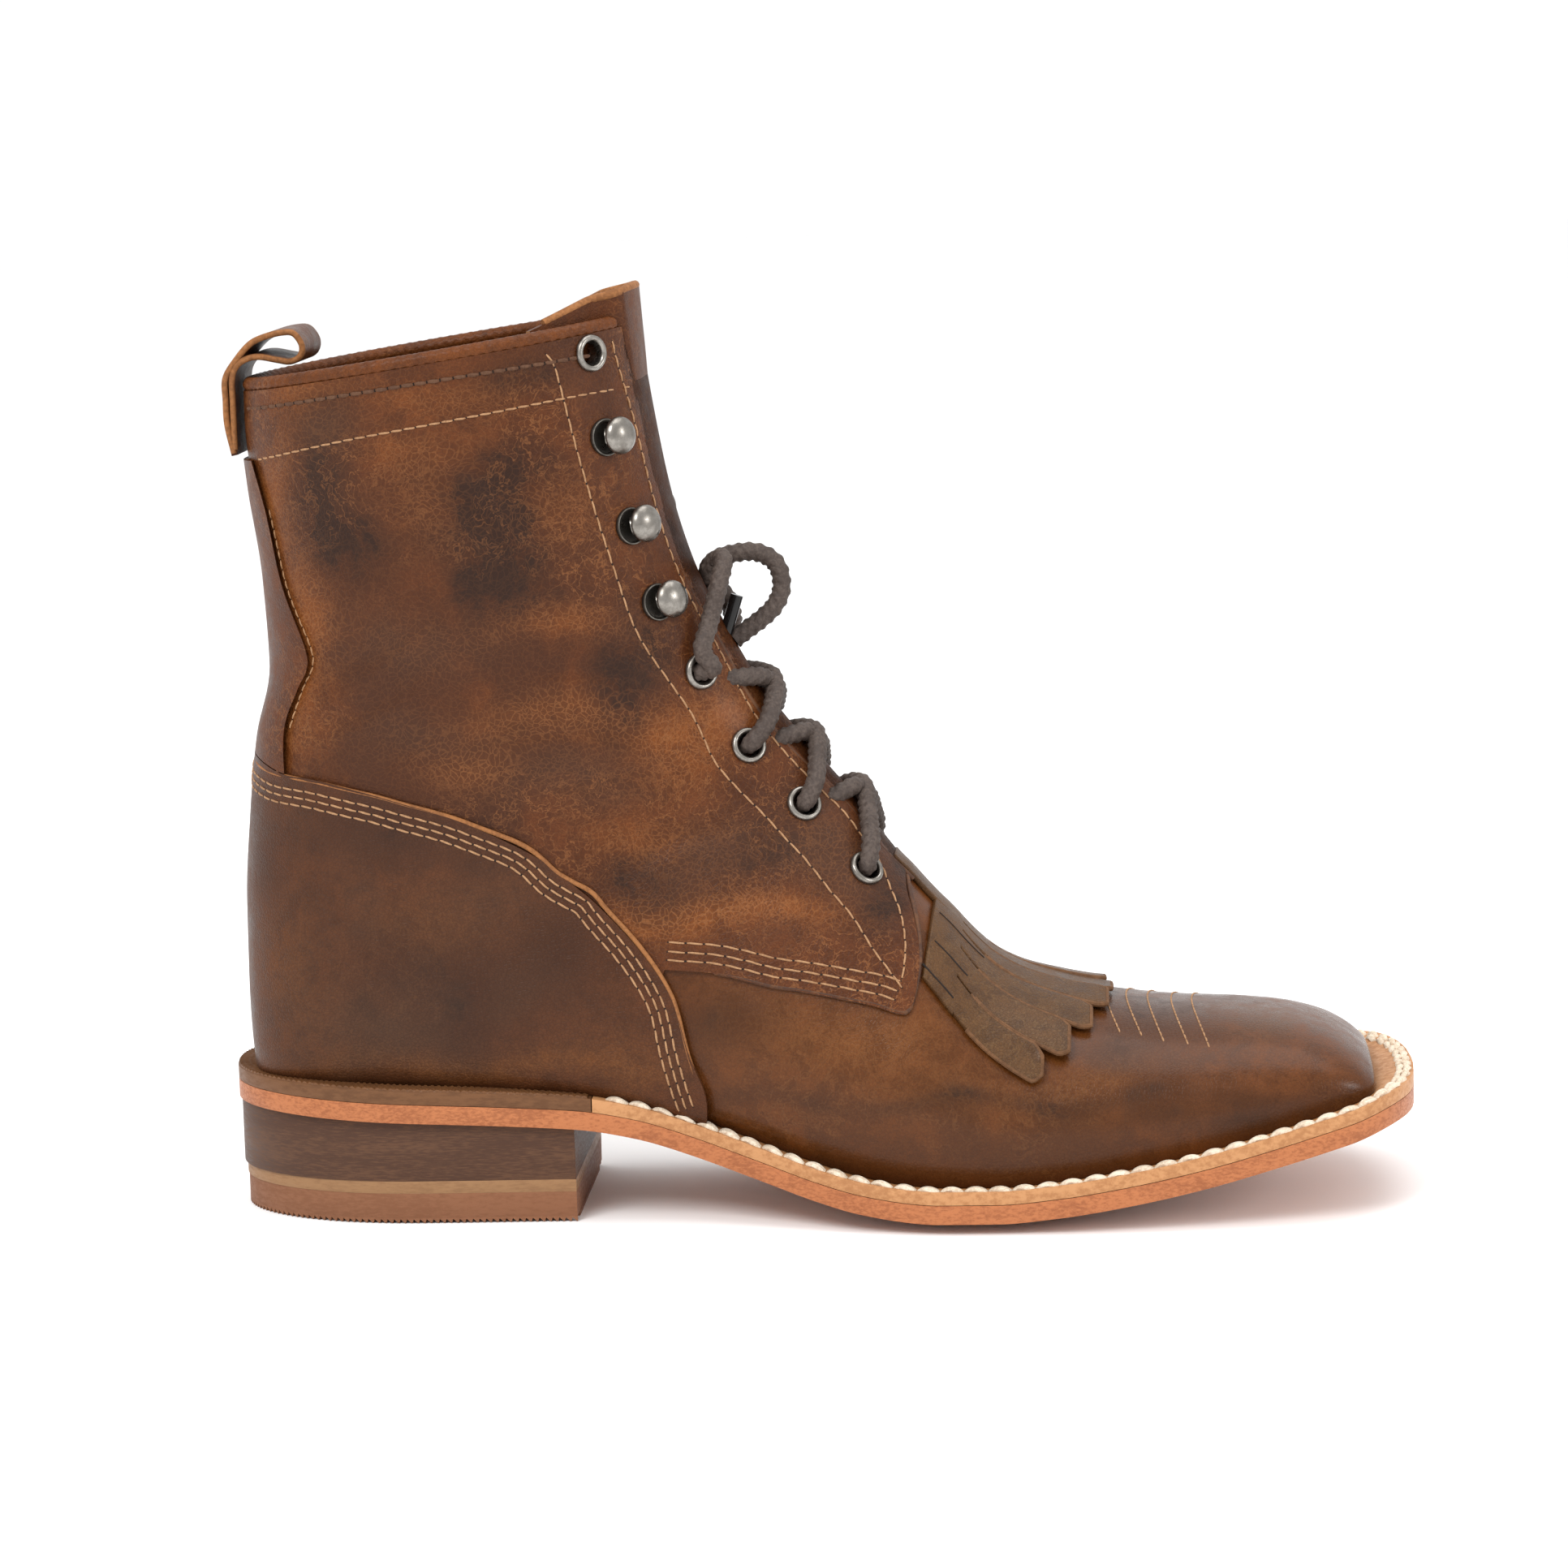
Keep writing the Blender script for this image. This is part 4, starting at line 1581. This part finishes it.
class Hardware:
    """Eyelets and hooks."""

    @staticmethod
    def turned(name: str, profile: Array, place: Array, normal: Array, segments: int = 28,
            closed: bool = True) -> bpy.types.Object:
        """Turns a profile of radius and height round a normal.

        Args:
            name: the piece's name.
            profile: radius and height.
            place: foot of its axis.
            normal: direction of its axis.
            segments: points round it.
            closed: whether the profile is a loop.

        Returns:
            The turned piece.
        """
        seed = np.array([0.0, 0.0, 1.0])
        u = np.cross(normal, seed)
        u /= np.linalg.norm(u)
        v = np.cross(normal, u)
        turn = np.linspace(0, 2 * math.pi, segments, endpoint=False)
        r, h = profile[:, 0][:, None, None], profile[:, 1][:, None, None]
        ring = place + r * (u * np.cos(turn)[None, :, None] + v * np.sin(turn)[None, :, None]) + normal * h
        if closed:
            ring = np.concatenate([ring, ring[:1]], 0)
        made = Modeller.grid(name, ring, wrap=True, caps=not closed)
        if closed:
            Modeller.clear_selection()
            bpy.context.view_layer.objects.active = made
            made.select_set(True)
            bpy.ops.object.mode_set(mode="EDIT")
            bpy.ops.mesh.select_all(action="SELECT")
            bpy.ops.mesh.remove_doubles(threshold=1e-7)
            bpy.ops.mesh.normals_make_consistent(inside=False)
            bpy.ops.object.mode_set(mode="OBJECT")
        return made

    def build(self) -> None:
        """Makes every eyelet and hook."""
        t = np.linspace(0, math.pi, 9)
        middle, half = (EYELET_RADIUS + 3.0) / 2, (EYELET_RADIUS - 3.0) / 2
        crest = np.stack([middle + half * np.cos(t), 0.15 + 1.05 * np.sin(t)], 1)
        eyelet = np.concatenate([[[EYELET_RADIUS, -0.1]], crest,
                [[EYELET_HOLE, -0.6], [EYELET_HOLE, -3.6], [3.1, -3.6], [3.1, -0.1]]])
        for k, (at, share) in enumerate(EYELETS):
            for name, side in (("outer", -1), ("inner", 1)):
                place, normal, _ = Last.skin(np.array(at), Last.turn_at(at, share, side), QUARTER_STEP + 0.05)
                number = k + 1 if k < 4 else 8
                made = self.turned(f"eyelet_{name}_{number}_ring", eyelet, place, normal)
                finish_piece(made, Look.NICKEL, "nickel", 50, [f"eyelet_{name}_{number}"])
        dome_t = np.linspace(0, math.pi / 2, 10)
        dome = np.stack([4.8 * np.cos(dome_t), 3.1 + 2.7 * np.sin(dome_t)], 1)
        dome[-1, 0] = 0.05
        hook = np.concatenate([[[0.05, -0.3], [2.4, -0.3], [2.3, 0.4], [1.9, 1.0], [1.9, 2.0], [4.2, 2.4],
                [4.75, 2.8]], dome])
        foot = np.array([[0.05, -0.3], [4.7, -0.3], [4.8, 0.3], [4.65, 0.75], [4.35, 0.85], [4.05, 0.7],
                [3.9, 0.3], [0.05, 0.2]])
        for k, (at, share) in enumerate(HOOKS):
            for name, side in (("outer", -1), ("inner", 1)):
                place, normal, _ = Last.skin(np.array(at), Last.turn_at(at, share, side), QUARTER_STEP + 0.1)
                cap = self.turned("cap", hook, place, normal, closed=False)
                rear, rear_normal, _ = Last.skin(np.array(at), Last.turn_at(at, share - 0.014, side),
                        QUARTER_STEP + 0.1)
                plate = self.turned("plate", foot, rear, rear_normal, closed=False)
                bridge = np.stack([rear + rear_normal * 0.3, rear * 0.5 + place * 0.5 + normal * 1.6,
                        place + normal * 2.9])
                neck = Modeller.tube("neck", resample(bridge, 0.5), 2.3, 12)
                made = Modeller.join(f"hook_{name}_{k + 5}_cap", [cap, neck])
                finish_piece(made, Look.NICKEL, "nickel", 45, [f"hook_{name}_{k + 5}"])
                finish_piece(Modeller.join(f"hook_{name}_{k + 5}_plate", [plate]), Look.PLATE, "nickel", 45)


class Laces:
    """The laces, through the eyelets and over the gap, and their two ends."""

    @staticmethod
    def braid(s: Array, turns: Array) -> Array:
        """Returns the braid's relief."""
        return 0.9 + 0.22 * np.abs(np.sin(2 * turns + s * 1.25) * np.sin(2 * turns - s * 1.25)) ** 0.7

    def strand(self, k: int, side: float) -> bpy.types.Object:
        """Makes one strand from eyelet k over the gap and under the other facing.

        Args:
            k: which eyelet.
            side: which side it starts on.

        Returns:
            The strand.
        """
        (at, share), (next_at, next_share) = EYELETS[k], EYELETS[k + 1]
        start, stop = Last.turn_at(at, share, 1), Last.turn_at(next_at, next_share, 1)
        over = QUARTER_STEP + LACE / 2 + 0.35
        top = 0.9 if side < 0 else -0.3
        plan = [
            (0, -3.0), (0, 0.4), (0.015, 3.0), (0.09, over + 1.1), (0.2, over + 0.6), (0.34, over + 0.3),
            (0.5, over - 0.2 + top), (0.62, over - 0.6), (0.7, over - 2.2), (0.76, 0.2), (0.84, -2.6), (1.0, -2.8),
        ]
        points = []
        for t, offset in plan:
            place = at + (next_at - at) * t
            turn = start + (2 * math.pi - stop - start) * t
            turn = turn if side > 0 else 2 * math.pi - turn
            points.append(Last.skin(np.array(place), np.array(turn), offset)[0])
        path = resample(np.array(points), 0.5)
        deep = np.array([p[1] for p in plan])
        t = np.linspace(0, 1, len(path))
        height = np.interp(t, np.linspace(0, 1, len(deep)), deep)
        radius = LACE / 2 * (0.42 + 0.58 * smoothstep(height, -2.4, 0.6))
        return Modeller.tube("strand", path, radius, 24, lobes=self.braid)

    def build(self) -> None:
        """Makes the crossings and the two free ends."""
        for k in range(3):
            both = [self.strand(k, side) for side in (-1.0, 1.0)]
            made = Modeller.join(f"lace_cross_{k + 1}", both)
            finish_piece(made, Look.LACE, "lace_cord", 60, [f"lace_crossing_{k + 1}"])
        at, share = EYELETS[3]
        ends = {
            "outer": [(-26.5, -19.5, 144.5), (-25.0, -16.5, 150.5), (-23.4, -14.5, 156.5), (-22.2, -13, 161.4),
                      (-21.4, -11.3, 164.6), (-21.6, -8.2, 166.6), (-23.3, -5, 166), (-25.4, -3, 163.4)],
            "inner": [(-21.5, 18.5, 145.5), (-22, 13, 153.5), (-26.8, 8.5, 160.5), (-24.8, 6.5, 164.6),
                    (-19.5, 5.5, 166.4),
                      (-14.3, 5, 166.7), (-10.1, 4.6, 164.9), (-8.0, 4.2, 161.8), (-7.6, 3.7, 157.1), (-9.4,
                              3.1, 153),
                      (-12.6, 2.4, 149.9), (-16.9, 1.6, 146.8), (-19.9, 0.9, 144.6)],
        }
        for name, side in (("outer", -1), ("inner", 1)):
            turn = np.array(Last.turn_at(at, share, side))
            first = [Last.skin(np.array(at), turn, offset)[0] for offset in (0.5, 3.2, 5.2)]
            path = resample(np.array([*first, *ends[name]]), 0.5)
            made = Modeller.tube(f"lace_{name}", path, LACE / 2, 24, lobes=self.braid)
            if name == "inner":
                foot = path[-1] + np.array([-2.4, -1.2, 0.6])
                line = foot + np.array([3.5, 0.5, 11.0]) * np.linspace(0, 1, 12)[:, None]
                tip = Modeller.tube("lace_aglet", line, 1.65, 20)
                finish_piece(tip, Look.TIP, "tip_plastic", 50, ["lace_tip"])
            finish_piece(made, Look.LACE, "lace_cord", 60, [f"lace_end_{name}"])


class StitchRow(NamedTuple):
    """A row of stitches: its line as place and share, on one side, at an offset."""

    line: Sequence[tuple[float, float]]
    offset: float
    pitch: float = 2.6
    thick: float = 0.34


class Stitching:
    """Threads that run in and out of the leather."""

    @staticmethod
    def thread(path: Array, normals: Array, pitch: float, thick: float, slant: float = 0.0,
            holes: bool = False) -> bpy.types.Object:
        """Makes a thread that rises over the leather in each stitch, or the needle holes between its stitches.

        Args:
            path: The seam's points on the leather.
            normals: The leather's normals there.
            pitch: Length of a stitch.
            thick: Radius of the thread.
            slant: How far a stitch leans across the seam.
            holes: Whether the holes are made instead of the thread.

        Returns:
            The thread or the holes.
        """
        length = np.concatenate([[0], np.cumsum(np.linalg.norm(np.diff(path, axis=0), axis=1))])
        count = max(1, round(length[-1] / pitch))
        s = np.linspace(0, length[-1], count * 10 + 1)
        place = np.stack([np.interp(s, length, path[:, k]) for k in range(3)], 1)
        out = np.stack([np.interp(s, length, normals[:, k]) for k in range(3)], 1)
        phase = (s / length[-1] * count) % 1.0
        if holes:
            peak = np.clip(1 - 5.5 * np.minimum(phase, 1 - phase), 0, 1)
            place = place + out * (-thick * 0.9 + thick * 0.45 * peak)[:, None]
            return Modeller.tube("holes", place, thick * (0.15 + 1.2 * peak), 6, normals=out, flat=0.8)
        rise = np.clip(np.sin(math.pi * phase), 0, 1) ** 0.45
        aside = np.cross(np.gradient(place, axis=0), out)
        aside /= np.linalg.norm(aside, axis=1, keepdims=True)
        place = place + out * (thick * (-1.45 + 1.8 * rise))[:,
                None] + aside * (slant * (phase - 0.5) * rise)[:, None]
        return Modeller.tube("thread", place, thick * (0.55 + 0.45 * rise), 6)

    def rows_on_last(self, name: str, rows: Sequence[StitchRow], look: Look, slot: str) -> None:
        """Makes rows of stitches on both sides of the last.

        Args:
            name: the piece's name.
            rows: the rows.
            look: finish.
            slot: material slot.
        """
        made, holes = [], []
        for row in rows:
            for side in (-1, 1):
                line = resample(np.array(row.line), 0.05)
                turn = Last.turn_at(line[:, 0], np.clip(line[:, 1], 0.002, 0.998), side)
                grown = row.offset + (relief(line[:, 0], turn) if row.offset == QUARTER_STEP else 0)
                place, normal, _ = Last.skin(line[:, 0], turn, grown)
                keep = place[:, 2] > Sole.top(place[:, 0], place[:, 1]) + 1.0
                made.append(self.thread(place[keep], normal[keep], row.pitch, row.thick, -0.25 * side))
                holes.append(self.thread(place[keep], normal[keep], row.pitch, row.thick, holes=True))
        finish_piece(Modeller.join(name, made), look, slot, 60)
        finish_piece(Modeller.join(f"{name}_holes", holes), Look.HOLE, slot, 60)

    def toe_rows(self) -> None:
        """Makes the five rows across the toe, each bowed back over the top."""
        at = np.linspace(2.0, 8.5, 500)
        made = []
        for x, low in ((77.2, 25.4), (82.7, 26.0), (88.2, 27.5), (94.3, 28.2), (99.6, 29.0)):
            points, normals = [], []
            for y in np.linspace(-low, low, 90):
                goal = x - 3.6 * (1 - (y / low) ** 2)
                place = Last.point(at, Last.front_turn(at, np.full(len(at), y + 1e-6)))
                where = np.interp(-goal, -place[:, 0], at)
                spot, normal, _ = Last.skin(np.array(where),
                        Last.front_turn(np.array(where), np.array(y + 1e-6)), 0.0)
                points.append(spot)
                normals.append(normal)
            made.append(self.thread(np.array(points), np.array(normals), 2.3, 0.24))
        finish_piece(Modeller.join("toe_stitches", made), Look.THREAD, "upper_leather", 60)

    @staticmethod
    def inside(line: Sequence[tuple[float, float]], gap: float) -> list[tuple[float, float]]:
        """Moves a seam on the last sideways by a gap in millimetres and returns it as place and share.

        Args:
            line: the seam.
            gap: distance from it.

        Returns:
            The moved seam.
        """
        rows = resample(np.array(line, float), 0.12)
        xz = Last.side_line([tuple(r) for r in rows])
        way = np.gradient(xz, axis=0)
        way /= np.linalg.norm(way, axis=1, keepdims=True)
        goal = xz + np.stack([way[:, 1], -way[:, 0]], 1) * gap
        out = []
        for k, (at, share) in enumerate(rows):
            a, s = at, share
            for _ in range(12):
                here = Last.side_line([(a, s)])[0]
                da = (Last.side_line([(a + 0.02, s)])[0] - here) / 0.02
                ds = (Last.side_line([(a, s + 0.01)])[0] - here) / 0.01
                step = np.linalg.lstsq(np.stack([da, ds], 1), goal[k] - here, rcond=None)[0]
                a, s = a + step[0], s + step[1]
            out.append((float(a), float(s)))
        return out

    def build(self) -> None:
        """Makes all visible stitching."""
        counter = COUNTER_LINE[1:-1]
        self.rows_on_last(
            "counter_stitches",
            [StitchRow(self.inside(counter, gap), QUARTER_STEP + OVERLAY, 3.8, 0.27) for gap in (2.6, 4.5, 6.4)],
            Look.THREAD, "upper_leather",
        )
        self.rows_on_last(
            "strap_stitches",
            [StitchRow(self.inside(QUARTER_LINE[:6], gap), QUARTER_STEP, 4.8, 0.27) for gap in (-2.2, -4.3, -6.6)]
            + [
                StitchRow([(22.35, 0.013), (22.5, 0.254), (22.56, 0.46), (22.63, 0.83), (22.61, 0.972)],
                        QUARTER_STEP, 3.2, 0.27),
                StitchRow([(23.2, 0.8), (22.97, 0.82), (21.87, 0.835), (20.48, 0.849), (18.85, 0.855), (16.28, 0.887),
                           (13.39, 0.867), (11.56, 0.815), (10.68, 0.794), (10.08, 0.754), (9.51,
                                   0.717)], QUARTER_STEP, 4.3, 0.27),
                StitchRow([(23.2, 0.95), (22, 0.968), (20, 0.972), (18, 0.975), (16, 0.972), (14, 0.968), (12, 0.962),
                           (10.7, 0.957), (10.15, 0.925), (9.8, 0.885), (9.6, 0.82), (9.55,
                                   0.74)], QUARTER_STEP, 3.7, 0.27),
            ],
            Look.THREAD, "upper_leather",
        )
        self.rows_on_last(
            "collar_stitches", [StitchRow([(23.1, 0.03), (23.12, 0.3), (23.12, 0.6), (23.1, 0.9)],
                    QUARTER_STEP, 3.3, 0.5)],
            Look.DARK_THREAD, "binding_leather",
        )
        self.rows_on_last(
            "stay_stitches",
            [StitchRow([(at, share + 0.02) for at, share in STAY_LINE[2:-2]], QUARTER_STEP, 2.6, 0.22)],
            Look.THREAD, "upper_leather",
        )
        self.toe_rows()
        self.welt_stitches()

    def welt_stitches(self) -> None:
        """Makes the two white rows of lock stitches on the welt, from the heel round the toe and back."""
        t = np.linspace(0, 1, 1500)
        x = (HEEL_BACK + 0.02) + (BOOT_LENGTH - 0.04) * (0.25 * t + 0.75 * (1 - np.cos(math.pi * t)) / 2)
        share = Sole.closing(x, HEEL_BACK, BOOT_LENGTH / 2)
        outer, inner = (column(SOLE_OUTLINE, k, x / BOOT_LENGTH) * SOLE_WIDTH * share for k in (1, 2))
        keep = x > BREAST + 8
        edge = np.concatenate([np.stack([x, -outer], 1)[keep], np.stack([x, inner], 1)[keep][::-1]])
        length = np.concatenate([[0], np.cumsum(np.linalg.norm(np.diff(edge, axis=0), axis=1))])
        at = np.arange(0, length[-1], 0.8)
        edge = np.stack([np.interp(at, length, edge[:, k]) for k in (0, 1)], 1)
        way = np.gradient(edge, axis=0)
        way /= np.linalg.norm(way, axis=1, keepdims=True)
        inward = np.stack([-way[:, 1], way[:, 0]], 1)
        made = []
        for gap in (1.7, 3.5):
            line = edge + inward * gap
            place = np.stack([line[:, 0], line[:, 1], Sole.top(line[:, 0], line[:, 1])], 1)
            made.append(self.thread(place, np.tile([0.0, 0.0, 1.0], (len(place), 1)), 6.0, 0.95, 1.3))
        finish_piece(Modeller.join("welt_stitches", made), Look.WELT_THREAD, "welt_leather", 60)


@dataclass
class Studio:
    """Floor, lights and the photograph's camera."""

    azimuth: float = 3.7
    elevation: float = 8.7
    roll: float = 1.5
    distance: float = 1205.0
    lens: float = 36.0 * 5760.0 / 1932.0
    target: tuple[float, float, float] = (-8.0, -MIDDLE, 107.0)
    lights: list[bpy.types.Object] = field(default_factory=list)

    def camera(self) -> None:
        """Makes the camera of the photograph."""
        a, e, r = (math.radians(v) for v in (self.azimuth, self.elevation, self.roll))
        away = Vector((math.sin(a) * math.cos(e), -math.cos(a) * math.cos(e), math.sin(e)))
        place = (Vector(self.target) + away * self.distance) * MM
        right = Vector((math.cos(a), math.sin(a), 0))
        up = away.cross(right)
        turned_right = right * math.cos(r) - up * math.sin(r)
        turned_up = right * math.sin(r) + up * math.cos(r)
        bpy.ops.object.camera_add()
        camera = bpy.context.object
        camera.name = "photo_camera"
        camera.matrix_world = Matrix.Translation(place) @ Matrix((turned_right, turned_up,
                away)).transposed().to_4x4()
        camera.data.lens = self.lens
        camera.data.sensor_width = 36.0
        camera.data.sensor_fit = "HORIZONTAL"
        camera.data.clip_start = 0.05
        bpy.context.scene.camera = camera

    def light(self, name: str, place: tuple[float, float, float], size: float, power: float) -> None:
        """Adds a soft light that looks at the boot.

        Args:
            name: the light's name.
            place: where it stands.
            size: edge length.
            power: power in watts.
        """
        bpy.ops.object.light_add(type="AREA", location=place)
        made = bpy.context.object
        made.name = name
        made.data.shape = "RECTANGLE"
        made.data.size = size
        made.data.size_y = size
        made.data.energy = power
        made.rotation_euler = (Vector((0, 0, 0.1)) - Vector(place)).to_track_quat("-Z", "Y").to_euler()
        self.lights.append(made)

    def build(self) -> None:
        """Makes the floor and the lights."""
        Modeller.clear_selection()
        bpy.ops.mesh.primitive_plane_add(size=14)
        floor = bpy.context.object
        floor.name = "floor"
        floor.data.materials.append(Look.FLOOR.value.material())
        self.light("key", (-0.6, -1.2, 1.4), 0.8, 20)
        self.light("top", (0.3, 0.1, 1.7), 1.2, 11)
        self.light("right", (1.5, -0.7, 0.7), 0.5, 7)
        world = bpy.data.worlds.new("studio")
        bpy.context.scene.world = world
        world.use_nodes = True
        background = world.node_tree.nodes["Background"]
        background.inputs[0].default_value = (1, 1, 1, 1)
        background.inputs[1].default_value = 1.04
        bpy.context.scene.view_settings.view_transform = "Standard"


def main() -> None:
    """Builds the boot's looks and reports what was made."""
    logging.basicConfig(level=logging.INFO)
    studio = Studio()
    studio.camera()
    Laces().build()
    Upper().build()
    Bottom().build()
    Hardware().build()
    Stitching().build()
    studio.build()
    for obj in bpy.data.objects:
        if obj.type == "MESH":
            LOG.info("%s %d faces", obj.name, len(obj.data.polygons))


if __name__ == "__main__":
    main()
